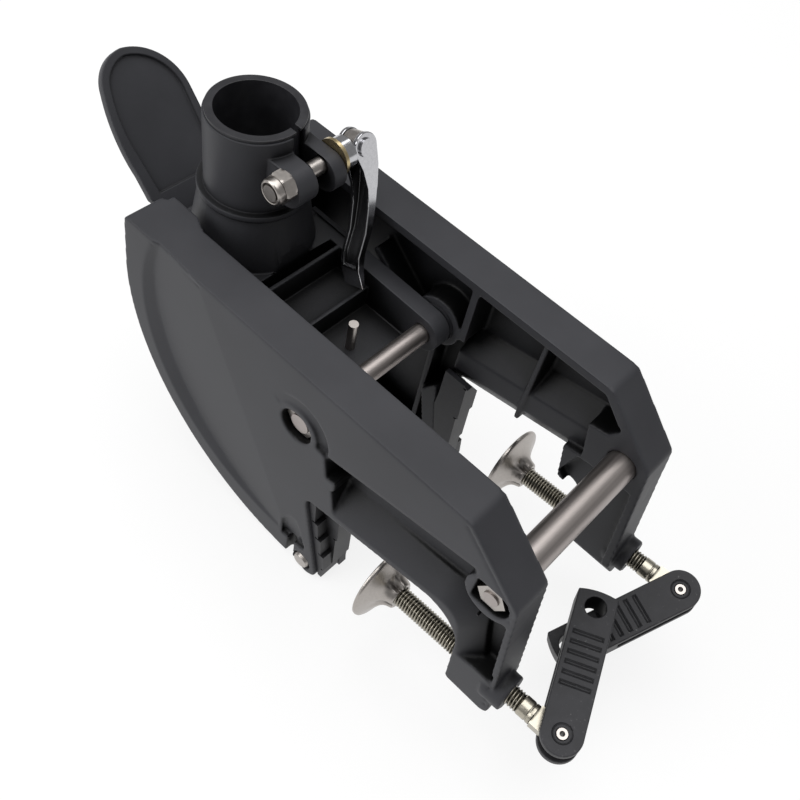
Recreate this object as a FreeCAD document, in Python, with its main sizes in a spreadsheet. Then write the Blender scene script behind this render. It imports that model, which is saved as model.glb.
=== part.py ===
import FreeCAD, Part
import math
import os
import Sketcher
from FreeCAD import Placement, Rotation, Vector

# Transom clamp bracket of a small electric outboard motor.
# Millimetres. The origin is on the axis of the collar bore, level with the
# top edges of the two side plates. X points inboard, towards the boat, Y to
# port and Z up along the collar.

SIZES = [
    # Side plates
    ("plate_in", 28.8, "inner face of a side plate, from the middle"),
    ("plate_wide", 16.4, "width of a side plate's rim"),
    ("web", 3.5, "thickness of the cast walls"),
    ("end_x", -16.5, "outboard end of the top edge"),
    ("top_x", 145.5, "inboard end of the level top edge"),
    ("chin_x", 171.0, "lower end of the sloping chin"),
    ("chin_z", -23.5, "height of the lower end of the chin"),
    ("toe_x", 181.0, "inboard bottom corner of the arm"),
    ("toe_z", -100.0, "bottom of the arm"),
    ("heel_x", 160.2, "outboard bottom corner of the arm"),
    ("throat_x", 156.4, "corner between the arm and the seat"),
    ("throat_z", -55.0, "height of that corner"),
    ("throat_round", 16.0, "radius of that corner"),
    ("seat_x", 81.5, "corner between the seat and the jaw"),
    ("seat_z", -69.5, "height of that corner"),
    ("jaw_x", 92.6, "bottom of the jaw's clamping face"),
    ("jaw_z", -122.0, "height of the bottom of the jaw"),
    ("pivot_x", 73.1, "tilt pivot, inboard of the collar axis"),
    ("pivot_z", -30.6, "height of the tilt pivot"),
    ("fan_r", 92.0, "outer radius of the fan about the pivot"),
    ("fan_ring", 12.0, "radial width of the fan's thick ring"),
    ("lip_in", 25.3, "inner face of the ring, from the middle"),
    ("channel_depth", 9.4, "depth of the channel in the outer side"),
    ("cross_rib_x", 117.0, "thin rib across the beam's inner side"),
    ("bar_x", 161.0, "axis of the crossbar"),
    ("bar_z", -28.5, "height of the crossbar"),
    ("bar_r", 6.0, "radius of the crossbar"),
    ("stud_r", 3.0, "radius of the crossbar's threaded ends"),
    ("bolt_r", 4.0, "radius of the pivot bolt"),
    ("running", 0.1, "radial clearance of a turning fit"),
    # Clamp screws
    ("screw_y", 39.3, "distance of a clamp screw from the middle"),
    ("screw_z", -89.9, "height of the screw axis at the foot end"),
    ("screw_rise", 4.4, "angle by which the screws rise inboard"),
    ("screw_r", 4.0, "radius of the clamp screw"),
    ("foot_at", 20.0, "face of the foot, along the screw"),
    ("foot_r", 16.5, "radius of the foot"),
    ("pin_at", 105.3, "roll pin of the handle, along the screw"),
    ("shoulder", 11.0, "end of the round shank, from the roll pin"),
    ("tongue", 5.0, "thickness of the flat tongue"),
    ("roll_pin_r", 2.0, "radius of the roll pin"),
    ("grip_thick", 12.5, "thickness of a folding handle"),
    ("grip_wide", 15.3, "width of a folding handle"),
    ("grip_long", 55.0, "roll pin to the handle's free end"),
    ("grip_fold", 112.8, "angle at which the handles are folded"),
    ("grip_roll_near", 7.5, "turn of the starboard screw"),
    ("grip_roll_far", 197.5, "turn of the port screw"),
    # Tilting head
    ("collar_r", 18.2, "outer radius of the collar"),
    ("collar_top", 34.2, "top of the collar"),
    ("bore_r", 14.5, "radius of the motor tube's bore"),
    ("bush_wall", 1.6, "wall of the bush"),
    ("cheek_out", 27.4, "outer face of the head's cheeks"),
    ("cheek_in", 19.5, "inner face of the head's cheeks"),
    ("base_half", 24.6, "half width of the head's base"),
    ("base_z", -46.0, "bottom of the head"),
    ("clamp_x", 25.3, "axis of the clamp's eye bolt"),
    ("clamp_z", 24.6, "height of the eye bolt"),
    ("eye_r", 3.0, "radius of the eye bolt's shank"),
    ("cam_y", 24.2, "trunnion pin of the cam lever"),
    ("cam_lean", 21.0, "lean of the cam lever's pin"),
    ("cam_tuck", 12.0, "angle by which the cam lever leans in"),
    # Tilt lever
    ("lever_x", -56.5, "where the lever's face crosses the top plane"),
    ("lever_lean", 44.6, "lean of the tilt lever from upright"),
]


class Size:
    """A number together with the sheet formula that gives it."""

    def __init__(self, value, formula):
        self.value = value
        self.formula = formula

    def __add__(self, other):
        other = as_size(other)
        return Size(self.value + other.value, f"({self.formula} + {other.formula})")

    def __radd__(self, other):
        return as_size(other) + self

    def __sub__(self, other):
        other = as_size(other)
        return Size(self.value - other.value, f"({self.formula} - {other.formula})")

    def __rsub__(self, other):
        return as_size(other) - self

    def __mul__(self, other):
        other = as_size(other)
        return Size(self.value * other.value, f"({self.formula} * {other.formula})")

    def __rmul__(self, other):
        return as_size(other) * self

    def __truediv__(self, other):
        other = as_size(other)
        return Size(self.value / other.value, f"({self.formula} / {other.formula})")

    def __neg__(self):
        return 0 - self


def as_size(number):
    """Gives plain numbers the same form as sizes from the sheet."""
    if isinstance(number, Size):
        return number
    return Size(float(number), f"{float(number):.6f}")


def root(size):
    return Size(math.sqrt(size.value), f"sqrt({size.formula})")


def sine(size):
    return Size(math.sin(math.radians(size.value)), f"sin({size.formula})")


def cosine(size):
    return Size(math.cos(math.radians(size.value)), f"cos({size.formula})")


doc = FreeCAD.newDocument("clamp_bracket")
sheet = doc.addObject("Spreadsheet::Sheet", "Sizes")


class Sizes:
    """Every size of the sheet, under its alias."""


dim = Sizes()
for line, (alias, number, meaning) in enumerate(SIZES, start=1):
    sheet.set(f"A{line}", meaning)
    sheet.set(f"B{line}", str(number))
    sheet.setAlias(f"B{line}", alias)
    setattr(dim, alias, Size(number, f"Sizes.{alias}"))
doc.recompute()


def bind(item, **sizes):
    """Sets properties of an object from sizes, by formula."""
    for name, size in sizes.items():
        size = as_size(size)
        setattr(item, name, size.value)
        item.setExpression(name, size.formula)


def place(item, x=0, y=0, z=0, rotation=None):
    """Puts an object at a place given by sizes."""
    spot = [as_size(x), as_size(y), as_size(z)]
    item.Placement = Placement(Vector(*[size.value for size in spot]), rotation or Rotation())
    for axis, size in zip("xyz", spot):
        item.setExpression(f"Placement.Base.{axis}", size.formula)


ALONG_Y = Rotation(Vector(1, 0, 0), -90)
AGAINST_Y = Rotation(Vector(1, 0, 0), 90)
ALONG_X = Rotation(Vector(0, 1, 0), 90)


def new_body(name):
    return doc.addObject("PartDesign::Body", name)


def origin_plane(body, role):
    return next(item for item in body.Origin.OriginFeatures if item.Role == role)


def outline(body, name, role, corners, height=0, turn=None, shift=(0, 0)):
    """Draws a closed outline on an origin plane of the body.

    Each corner is (across, up) or (across, up, radius). A radius bends the
    side that starts there: positive turns left, negative turns right.
    """
    drawing = body.newObject("Sketcher::SketchObject", name)
    drawing.AttachmentSupport = [(origin_plane(body, role), "")]
    drawing.MapMode = "FlatFace"
    offsets = [as_size(shift[0]), as_size(shift[1]), as_size(height)]
    drawing.AttachmentOffset = Placement(
        Vector(*[size.value for size in offsets]), turn or Rotation()
    )
    for axis, size in zip("xyz", offsets):
        drawing.setExpression(f"AttachmentOffset.Base.{axis}", size.formula)
    points = [(as_size(corner[0]), as_size(corner[1])) for corner in corners]
    shapes = []
    starts = []
    ends = []
    for index, corner in enumerate(corners):
        here = Vector(points[index][0].value, points[index][1].value, 0)
        after = points[(index + 1) % len(points)]
        there = Vector(after[0].value, after[1].value, 0)
        if len(corner) < 3:
            shapes.append(Part.LineSegment(here, there))
            starts.append(1)
            ends.append(2)
            continue
        radius = as_size(corner[2]).value
        chord = there - here
        left = Vector(-chord.y, chord.x, 0).normalize()
        reach = math.sqrt(max(radius**2 - chord.Length**2 / 4, 0.0))
        centre = (here + there) * 0.5 + left * math.copysign(reach, radius)
        circle = Part.Circle(centre, Vector(0, 0, 1), abs(radius))
        from_here = math.atan2(here.y - centre.y, here.x - centre.x)
        from_there = math.atan2(there.y - centre.y, there.x - centre.x)
        if radius > 0:
            shapes.append(Part.ArcOfCircle(circle, from_here, from_there))
            starts.append(1)
            ends.append(2)
        else:
            shapes.append(Part.ArcOfCircle(circle, from_there, from_here))
            starts.append(2)
            ends.append(1)
    drawing.addGeometry(shapes, False)
    rules = []
    names = []
    for index, corner in enumerate(corners):
        after = (index + 1) % len(corners)
        rules.append(Sketcher.Constraint("Coincident", index, ends[index], after, starts[after]))
        names.append(None)
    formulas = {}
    for index, corner in enumerate(corners):
        across, up = points[index]
        rules.append(Sketcher.Constraint("DistanceX", -1, 1, index, starts[index], across.value))
        names.append(f"x{index}")
        formulas[f"x{index}"] = across.formula
        rules.append(Sketcher.Constraint("DistanceY", -1, 1, index, starts[index], up.value))
        names.append(f"y{index}")
        formulas[f"y{index}"] = up.formula
        if len(corner) == 3:
            radius = as_size(corner[2])
            if radius.value < 0:
                radius = -radius
            rules.append(Sketcher.Constraint("Radius", index, radius.value))
            names.append(f"r{index}")
            formulas[f"r{index}"] = radius.formula
    drawing.addConstraint(rules)
    for index, name in enumerate(names):
        if name:
            drawing.renameConstraint(index, name)
            drawing.setExpression(f"Constraints.{name}", formulas[name])
    return drawing


def finished(body, feature):
    """Makes a feature the body's last one and makes sure that it holds."""
    body.Tip = feature
    doc.recompute()
    if "Invalid" in feature.State or "Error" in feature.State:
        raise RuntimeError(f"{body.Label}: {feature.Label} fails")
    return feature


def pad(body, drawing, length, name, middle=False, back=False):
    feature = body.newObject("PartDesign::Pad", name)
    feature.Profile = drawing
    bind(feature, Length=length)
    if middle:
        feature.Midplane = True
    feature.Reversed = back
    return finished(body, feature)


def pocket(body, drawing, length, name, middle=False, back=False, taper=None):
    """Cuts an outline into the body, and makes sure that it cuts something."""
    before = body.Shape.Volume
    feature = body.newObject("PartDesign::Pocket", name)
    feature.Profile = drawing
    bind(feature, Length=length)
    if middle:
        feature.Midplane = True
    feature.Reversed = back
    if taper is not None:
        feature.TaperAngle = taper
    finished(body, feature)
    if body.Shape.Volume >= before:
        raise RuntimeError(f"{body.Label}: {name} cuts nothing")
    return feature


def primitive(body, kind, name, spot, rotation=None, **sizes):
    """Adds or cuts a plain shape in a body."""
    feature = body.newObject(f"PartDesign::{kind}", name)
    bind(feature, **sizes)
    place(feature, *spot, rotation=rotation)
    return finished(body, feature)


def upright_edges(shape, spots, axis="y", reach=0.6):
    """Edges that run along an axis through given points of the other two."""
    others = [letter for letter in "xyz" if letter != axis]
    found = []
    for n, edge in enumerate(shape.Edges, start=1):
        if edge.Curve.TypeId != "Part::GeomLine":
            continue
        way = edge.lastVertex().Point - edge.firstVertex().Point
        if abs(getattr(way, axis)) < 0.999 * way.Length:
            continue
        at = edge.firstVertex().Point
        for spot in spots:
            gap = [getattr(at, others[k]) - as_size(spot[k]).value for k in (0, 1)]
            if math.hypot(*gap) < reach:
                found.append(f"Edge{n}")
                break
    return found


def fillet(body, names, radius, name):
    """Rounds edges of the body's last feature."""
    if not names:
        raise RuntimeError(f"{body.Label}: {name} finds no edge")
    base = body.Tip
    feature = body.newObject("PartDesign::Fillet", name)
    feature.Base = (base, names)
    bind(feature, Radius=radius)
    return finished(body, feature)


def cylinder(name, radius, height, spot, rotation=None):
    item = doc.addObject("Part::Cylinder", name)
    bind(item, Radius=radius, Height=height)
    place(item, *spot, rotation=rotation)
    return item


def cone(name, low, high, height, spot, rotation=None):
    item = doc.addObject("Part::Cone", name)
    bind(item, Radius1=low, Radius2=high, Height=height)
    place(item, *spot, rotation=rotation)
    return item


def box(name, length, width, height, spot, rotation=None):
    item = doc.addObject("Part::Box", name)
    bind(item, Length=length, Width=width, Height=height)
    place(item, *spot, rotation=rotation)
    return item


def prism(name, sides, corner_r, height, spot, rotation=None):
    item = doc.addObject("Part::Prism", name)
    item.Polygon = sides
    bind(item, Circumradius=corner_r, Height=height)
    place(item, *spot, rotation=rotation)
    return item


def fuse(name, items):
    item = doc.addObject("Part::MultiFuse", name)
    item.Shapes = items
    item.Refine = True
    return item


def cut(name, base, tool):
    item = doc.addObject("Part::Cut", name)
    item.Base = base
    item.Tool = tool
    item.Refine = True
    return item


def group(name, items):
    item = doc.addObject("Part::Compound", name)
    item.Links = items
    return item


def mirror_image(name, source):
    """The same piece on the other side of the middle plane."""
    item = doc.addObject("Part::Mirroring", name)
    item.Source = source
    item.Normal = Vector(0, 1, 0)
    return item


nodes = {}


def node(label, item):
    """Names a sub-part; its name is also its file's name."""
    item.Label = label
    nodes[label] = item
    return item


# Side plates. The starboard one is modelled and the port one mirrors it.
plate = new_body("StarboardPlate")
plate_out = dim.plate_in + dim.plate_wide
fan_top_z = as_size(-25.0)
fan_top_x = dim.pivot_x - root(dim.fan_r * dim.fan_r - (fan_top_z - dim.pivot_z) * (fan_top_z - dim.pivot_z))
fan_end_x = as_size(80.0)
fan_end_z = dim.pivot_z - root(dim.fan_r * dim.fan_r - (fan_end_x - dim.pivot_x) * (fan_end_x - dim.pivot_x))
side = outline(
    plate,
    "PlateOutline",
    "XZ_Plane",
    [
        (dim.end_x, 0),
        (dim.top_x, 0),
        (dim.chin_x, dim.chin_z),
        (dim.toe_x, dim.toe_z),
        (dim.heel_x, dim.toe_z),
        (dim.throat_x, dim.throat_z),
        (dim.seat_x, dim.seat_z),
        (dim.jaw_x, dim.jaw_z),
        (dim.jaw_x - 5.5, dim.jaw_z - 3.5),
        (fan_end_x, fan_end_z, -dim.fan_r),
        (fan_top_x, fan_top_z),
    ],
    height=dim.plate_in,
)
pad(plate, side, dim.plate_wide, "PlateBlank")
throat = upright_edges(plate.Shape, [(dim.throat_x, dim.throat_z)])
fillet(plate, throat, dim.throat_round, "ThroatRound")
corners = upright_edges(
    plate.Shape,
    [
        (dim.top_x, 0),
        (dim.chin_x, dim.chin_z),
        (dim.toe_x, dim.toe_z),
        (dim.seat_x, dim.seat_z),
        (dim.jaw_x, dim.jaw_z),
        (dim.jaw_x - 5.5, dim.jaw_z - 3.5),
    ],
)
fillet(plate, corners, 4.0, "CornerRounds")
ends = upright_edges(plate.Shape, [(dim.end_x, 0), (dim.heel_x, dim.toe_z)])
fillet(plate, ends, 2.0, "EndRounds")

# Ring of the fan, thicker towards the middle and blended into the plate.
ring_r = dim.fan_r - dim.fan_ring
blend_r = ring_r - 7.0
lip_top_x = dim.pivot_x - root(dim.fan_r * dim.fan_r - dim.pivot_z * dim.pivot_z)
blend_top_x = dim.pivot_x - root(blend_r * blend_r - dim.pivot_z * dim.pivot_z)
lip_low_x = as_size(70.0)
lip_low_z = dim.pivot_z - root(dim.fan_r * dim.fan_r - (lip_low_x - dim.pivot_x) * (lip_low_x - dim.pivot_x))
blend_low_z = dim.pivot_z - root(blend_r * blend_r - (lip_low_x - dim.pivot_x) * (lip_low_x - dim.pivot_x))
lip = outline(
    plate,
    "LipOutline",
    "XZ_Plane",
    [
        (lip_top_x, 0, dim.fan_r),
        (lip_low_x, lip_low_z),
        (lip_low_x, blend_low_z, -blend_r),
        (blend_top_x, 0),
    ],
    height=dim.lip_in,
)
pad(plate, lip, dim.plate_in - dim.lip_in + 2.0, "LipPad")
primitive(
    plate,
    "SubtractiveCone",
    "LipBlend",
    (dim.pivot_x, -dim.lip_in, dim.pivot_z),
    rotation=AGAINST_Y,
    Radius1=ring_r,
    Radius2=blend_r,
    Height=dim.plate_in - dim.lip_in,
)

# Pockets in the inner side of the plate.
deep = dim.plate_wide - dim.web - 3.0
pocket_top_x = dim.pivot_x - root(ring_r * ring_r - (dim.pivot_z + 4.0) * (dim.pivot_z + 4.0))
jaw_wall_x = dim.jaw_x - 9.0
jaw_wall_z = dim.pivot_z - root(ring_r * ring_r - (jaw_wall_x - dim.pivot_x) * (jaw_wall_x - dim.pivot_x))
fan_hollow = outline(
    plate,
    "FanHollow",
    "XZ_Plane",
    [
        (pocket_top_x, -4.0, ring_r),
        (jaw_wall_x, jaw_wall_z),
        (dim.seat_x - 7.0, dim.seat_z - 4.0),
        (dim.seat_x + 2.5, dim.seat_z + 9.5),
        (dim.seat_x + 2.5, -4.0),
    ],
    height=dim.plate_in,
)
pocket(plate, fan_hollow, deep, "FanHollowCut", back=True)
# Hollows of the beam: the wall follows the channel of the outer side, so its
# back stands in as a long bead between an upper and a lower hollow.
seat_slope = (dim.throat_z - dim.seat_z) / (dim.throat_x - dim.seat_x)
seat_turn = Rotation(Vector(1, 0, 0), -math.degrees(math.atan(seat_slope.value)))


def seat_height(x):
    """Height of the seat's edge at a place along the plate."""
    return dim.seat_z + (x - dim.seat_x) * seat_slope


wall = dim.web - 0.5
crest = dim.channel_depth + wall
beam_start_x = dim.seat_x + 5.5
beam_end_x = dim.bar_x - 9.4
upper = outline(
    plate,
    "UpperHollow",
    "XZ_Plane",
    [
        (beam_start_x, -4.0),
        (dim.top_x - 1.6, -4.0),
        (beam_end_x + 3.4, dim.bar_z + 14.0),
        (beam_end_x, dim.bar_z + 9.0),
        (beam_end_x, seat_height(beam_end_x) + 36.0),
        (beam_start_x, seat_height(beam_start_x) + 36.0),
    ],
    height=dim.plate_in,
)
pocket(plate, upper, dim.plate_wide - dim.web, "UpperHollowCut", back=True)
bead = outline(
    plate,
    "BeadHollow",
    "YZ_Plane",
    [
        (-(dim.plate_in - 1.0), 37.0),
        (-(plate_out - dim.web), 37.0),
        (-(plate_out - dim.web - 1.6), 34.6),
        (-(plate_out - crest), 27.0),
        (-(plate_out - crest), 17.4),
        (-(dim.plate_in - 1.0), 17.4),
    ],
    height=beam_start_x,
    shift=(0, seat_height(beam_start_x)),
    turn=seat_turn,
)
pocket(plate, bead, beam_end_x - beam_start_x, "BeadHollowCut", back=True)
underside = outline(
    plate,
    "Underside",
    "YZ_Plane",
    [
        (-(dim.plate_in - 1.0), 18.0),
        (-(plate_out - crest), 18.0),
        (-(plate_out - crest), 17.0),
        (-(plate_out - 9.7), 12.6),
        (-(plate_out - 1.0), 0.4),
        (-(plate_out - 1.0), -8.0),
        (-(dim.plate_in - 1.0), -8.0),
    ],
    height=dim.seat_x + 0.4,
    shift=(0, seat_height(dim.seat_x)),
    turn=seat_turn,
)
pocket(plate, underside, dim.throat_x - dim.seat_x - 13.0, "UndersideCut", back=True)

# The pivot boss and the ribs stand in the hollows.
primitive(
    plate,
    "AdditiveCylinder",
    "PivotBoss",
    (dim.pivot_x, -dim.plate_in, dim.pivot_z),
    rotation=AGAINST_Y,
    Radius=11.0,
    Height=dim.plate_wide - 1.0,
)
rib = outline(
    plate,
    "SlantRib",
    "XZ_Plane",
    [(36.9, -20.4), (38.9, -18.0), (66.5, -40.2), (64.5, -42.6)],
    height=dim.plate_in,
)
pad(plate, rib, deep + 1.0, "SlantRibPad")
rib = outline(
    plate,
    "CrossRib",
    "XZ_Plane",
    [
        (dim.cross_rib_x - 1.1, -3.0),
        (dim.cross_rib_x + 1.1, -3.0),
        (dim.cross_rib_x + 1.1, seat_height(dim.cross_rib_x) + 12.0),
        (dim.cross_rib_x - 1.1, seat_height(dim.cross_rib_x) + 12.0),
    ],
    height=plate_out - crest - 1.4,
)
pad(plate, rib, crest - 1.0, "CrossRibPad")
rib = outline(
    plate,
    "FanRib",
    "XZ_Plane",
    [
        (dim.pivot_x - 1.3, dim.pivot_z - 81.0),
        (dim.pivot_x + 1.3, dim.pivot_z - 81.0),
        (dim.pivot_x + 1.3, dim.pivot_z - 5.0),
        (dim.pivot_x - 1.3, dim.pivot_z - 5.0),
    ],
    height=dim.plate_in + 2.0,
)
pad(plate, rib, deep - 1.0, "FanRibPad")

# Inner side of the arm: hollowed below the crossbar, and its foot cut to a slope.
arm_hollow = outline(
    plate,
    "ArmInnerHollow",
    "XZ_Plane",
    [
        (dim.throat_x - 10.0, dim.bar_z - 12.0),
        (dim.chin_x - 1.6, dim.bar_z - 10.0),
        (dim.toe_x - 4.2, dim.toe_z + 4.0),
        (dim.toe_x - 4.2, dim.toe_z - 2.0),
        (dim.heel_x - 4.0, dim.toe_z - 2.0),
        (dim.throat_x - 2.0, dim.throat_z - 10.0),
        (dim.throat_x - 14.0, dim.throat_z),
    ],
    height=dim.plate_in,
)
pocket(plate, arm_hollow, dim.plate_wide - crest, "ArmInnerHollowCut", back=True)
leg = outline(
    plate,
    "ArmFootSlope",
    "YZ_Plane",
    [
        (-(dim.plate_in - 1.0), dim.toe_z + 16.0),
        (-(dim.screw_y - 1.0), dim.toe_z - 1.0),
        (-(dim.plate_in - 1.0), dim.toe_z - 1.0),
    ],
    height=dim.bar_x - 15.0,
)
pocket(plate, leg, 60.0, "ArmFootSlopeCut", back=True)

# Open channel of the outer side. It runs above the seat's rim, turns round the
# slot's corner behind the crossbar's boss and goes down the arm.
arm_floor = plate_out - dim.channel_depth
chan_x = dim.seat_x + 12.5
bend_x = dim.throat_x + 4.0
bend_z = seat_height(bend_x) + 12.0
foot_x = dim.heel_x + 7.9
foot_z = dim.toe_z + 24.0
channel = outline(
    plate,
    "Channel",
    "XZ_Plane",
    [
        (chan_x, seat_height(chan_x) + 15.0),
        (bend_x, bend_z),
        (foot_x, foot_z),
        (dim.toe_x - 5.4, foot_z),
        (dim.bar_x + 12.4, dim.bar_z - 7.0),
        (dim.bar_x, dim.bar_z - 7.0),
        (dim.bar_x, seat_height(dim.bar_x) + 24.0),
        (chan_x, seat_height(chan_x) + 24.0),
    ],
    height=arm_floor,
)
pocket(plate, channel, dim.channel_depth + 2.0, "ChannelCut", back=True)
upper_slope = outline(
    plate,
    "ChannelUpperSlope",
    "YZ_Plane",
    [
        (-(plate_out + 1.0), 38.5),
        (-plate_out, 37.0),
        (-(plate_out - 1.6), 33.4),
        (-(plate_out - 8.6), 25.4),
        (-(plate_out - dim.channel_depth), 23.0),
        (-(plate_out + 1.0), 23.0),
    ],
    height=chan_x,
    shift=(0, seat_height(chan_x)),
    turn=seat_turn,
)
pocket(plate, upper_slope, dim.bar_x - chan_x, "ChannelUpperSlopeCut", back=True)

# The channel's lower side is one sloping section: straight above the seat,
# turned round the corner and straight again down the arm.
bend_r = 18.0
seat_angle = math.atan(seat_slope.value)
heel_angle = math.atan2((foot_z - bend_z).value, (foot_x - bend_x).value)
swing = seat_angle - heel_angle
tangent = bend_r * math.tan(swing / 2.0)
bend_start = (
    bend_x - tangent * math.cos(seat_angle),
    bend_z - tangent * math.sin(seat_angle),
)
bend_end = (
    bend_x + tangent * math.cos(heel_angle),
    bend_z + tangent * math.sin(heel_angle),
)
bend_middle = (
    bend_start[0] + bend_r * math.sin(seat_angle),
    bend_start[1] - bend_r * math.cos(seat_angle),
)


def slope_section(name, spot, turn, lift=0.0):
    """Section of the channel's lower side, drawn across its course."""
    return outline(
        plate,
        name,
        "YZ_Plane",
        [
            (-(plate_out + 1.0), lift + 6.0),
            (-(plate_out + 1.0), lift - 9.0),
            (-plate_out, lift - 8.2),
            (-(plate_out - 6.7), lift),
            (-(plate_out - dim.channel_depth), lift + 3.2),
            (-(plate_out - dim.channel_depth), lift + 6.0),
        ],
        height=spot[0],
        shift=(0, spot[1]),
        turn=turn,
    )


start = (chan_x, seat_height(chan_x) + 12.0)
lower_slope = slope_section("ChannelLowerSlope", start, seat_turn)
straight = math.hypot(bend_start[0].value - start[0].value, bend_start[1].value - start[1].value)
pocket(plate, lower_slope, straight, "ChannelLowerSlopeCut", back=True)
bend_section = slope_section("ChannelBendSection", bend_middle, seat_turn, lift=bend_r)
turned = plate.newObject("PartDesign::Groove", "ChannelBendCut")
turned.Profile = bend_section
turned.ReferenceAxis = (bend_section, ["H_Axis"])
turned.Angle = math.degrees(swing)
finished(plate, turned)
heel_turn = Rotation(Vector(1, 0, 0), -math.degrees(heel_angle))
arm_slope = slope_section("ChannelArmSlope", bend_end, heel_turn)
down = math.hypot(foot_x.value - bend_end[0].value, foot_z.value - bend_end[1].value)
pocket(plate, arm_slope, down, "ChannelArmSlopeCut", back=True)
primitive(
    plate,
    "AdditiveCylinder",
    "BarBoss",
    (dim.bar_x, -(arm_floor - 1.0), dim.bar_z),
    rotation=AGAINST_Y,
    Radius=10.2,
    Height=dim.channel_depth + 1.0,
)

# Recess of the fan: its floor tilts, so that it fades towards the pivot and
# is deepest at the lower outboard edge, and its round wall slopes to the rim.
recess_r = ring_r - 2.5
fade = 63.8
floor_tilt = 3.55
floor_turn = Rotation(Vector(0, 0, 1), -fade) * Rotation(Vector(1, 0, 0), floor_tilt)
primitive(
    plate,
    "SubtractiveCone",
    "FanRecess",
    (dim.pivot_x, -(plate_out + 2.0), dim.pivot_z),
    rotation=AGAINST_Y * floor_turn * Rotation(Vector(0, 0, 1), 150.0 + fade),
    Radius1=recess_r,
    Radius2=recess_r + 14.0,
    Height=7.0,
    Angle=117.6,
)

# A second, smaller recess in the jaw's corner; a thin ridge parts the two.
corner = outline(
    plate,
    "JawRecess",
    "XZ_Plane",
    [
        (-1.6, -20.9),
        (-1.9, -9.0),
        (1.4, -2.1),
        (5.5, 0.0),
        (11.5, -16.4),
        (10.9, -18.4),
    ],
    height=plate_out,
    shift=(dim.pivot_x, dim.pivot_z - 60.0),
    turn=Rotation(Vector(1, 0, 0), 7.5),
)
pocket(plate, corner, 5.0, "JawRecessCut", back=True)
notch = outline(
    plate,
    "LugNotch",
    "XZ_Plane",
    [
        (dim.jaw_x - 17.4, dim.jaw_z - 8.0),
        (dim.jaw_x - 13.8, dim.jaw_z - 8.0),
        (dim.jaw_x - 13.8, dim.jaw_z + 12.4),
        (dim.jaw_x - 17.4, dim.jaw_z + 12.4),
    ],
    height=plate_out - 4.0,
)
pocket(plate, notch, 6.0, "LugNotchCut", back=True)

# Crescent-shaped hollow beside the raised ring of the pivot hole, deeper
# towards its lower end.
slant = math.radians(66.0)


def beside_pivot(x, z):
    """A point beside the pivot in the directions of the crescent's drawing."""
    return (
        (x + 11.3) * math.cos(slant) + (z - 8.2) * math.sin(slant),
        (z - 8.2) * math.cos(slant) - (x + 11.3) * math.sin(slant),
    )


crescent = outline(
    plate,
    "PivotCrescent",
    "XZ_Plane",
    [
        (*beside_pivot(-8.7, 5.0), -10.0),
        beside_pivot(9.85, -1.7),
        (*beside_pivot(14.8, -2.6), 14.2),
        beside_pivot(-11.3, 8.2),
    ],
    height=plate_out,
    shift=(dim.pivot_x - 11.3, dim.pivot_z + 8.2),
    turn=Rotation(Vector(0, 0, 1), 66.0) * Rotation(Vector(1, 0, 0), 4.6),
)
pocket(plate, crescent, 4.0, "PivotCrescentCut", back=True)

# Holes and seats of the fasteners.
primitive(
    plate, "SubtractiveCylinder", "PivotHole",
    (dim.pivot_x, -(dim.plate_in - 2.0), dim.pivot_z), rotation=AGAINST_Y,
    Radius=dim.bolt_r + dim.running, Height=dim.plate_wide + 4.0,
)
counterbore = 9.2
primitive(
    plate, "SubtractiveCylinder", "PivotCounterbore",
    (dim.pivot_x, -(plate_out - counterbore), dim.pivot_z), rotation=AGAINST_Y,
    Radius=7.25, Height=counterbore + 2.0,
)
primitive(
    plate, "SubtractiveCylinder", "BarSocket",
    (dim.bar_x, -(dim.plate_in - 1.0), dim.bar_z), rotation=AGAINST_Y,
    Radius=dim.bar_r + 0.05, Height=2.5,
)
primitive(
    plate, "SubtractiveCylinder", "StudHole",
    (dim.bar_x, -dim.plate_in, dim.bar_z), rotation=AGAINST_Y,
    Radius=dim.stud_r + 0.2, Height=dim.plate_wide + 2.0,
)
nut_seat = 5.0
nook = outline(
    plate,
    "NutPocket",
    "XZ_Plane",
    [
        (dim.bar_x - 6.4, dim.bar_z - 6.2),
        (dim.bar_x + 3.6, dim.bar_z - 6.2, 6.8),
        (dim.bar_x + 3.6, dim.bar_z + 6.2),
        (dim.bar_x - 6.4, dim.bar_z + 6.2),
    ],
    height=plate_out - nut_seat,
)
pocket(plate, nook, 8.0, "NutPocketCut", back=True)
screw_way = Rotation(Vector(0, 1, 0), 90.0 - dim.screw_rise.value)


def on_screw(along, side=-1.0):
    """A point of a clamp screw's axis; the sheet's screw_z belongs to x 100."""
    return (
        100.0 + along * cosine(dim.screw_rise),
        side * dim.screw_y,
        dim.screw_z + along * sine(dim.screw_rise),
    )


primitive(
    plate, "AdditiveCylinder", "ScrewBoss", on_screw(as_size(74.0)), rotation=screw_way,
    Radius=7.4, Height=9.4,
)
primitive(
    plate, "SubtractiveCylinder", "ScrewHole", on_screw(as_size(50.0)), rotation=screw_way,
    Radius=dim.screw_r + 0.06, Height=42.0,
)
primitive(
    plate, "SubtractiveBox", "PadTabSeat", (dim.jaw_x - 14.0, -(dim.plate_in + 4.4), dim.jaw_z - 5.0),
    Length=16.0, Width=5.4, Height=14.0,
)
tab_screw_x = dim.jaw_x - 8.6
tab_screw_z = dim.jaw_z + 3.0
primitive(
    plate, "SubtractiveCylinder", "TabScrewHole",
    (tab_screw_x, -(dim.plate_in - 1.0), tab_screw_z), rotation=AGAINST_Y,
    Radius=2.7, Height=dim.plate_wide + 2.0,
)
primitive(
    plate, "SubtractiveCylinder", "TabScrewSink",
    (tab_screw_x, -(plate_out - 2.0), tab_screw_z), rotation=AGAINST_Y,
    Radius=4.8, Height=3.0,
)

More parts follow.
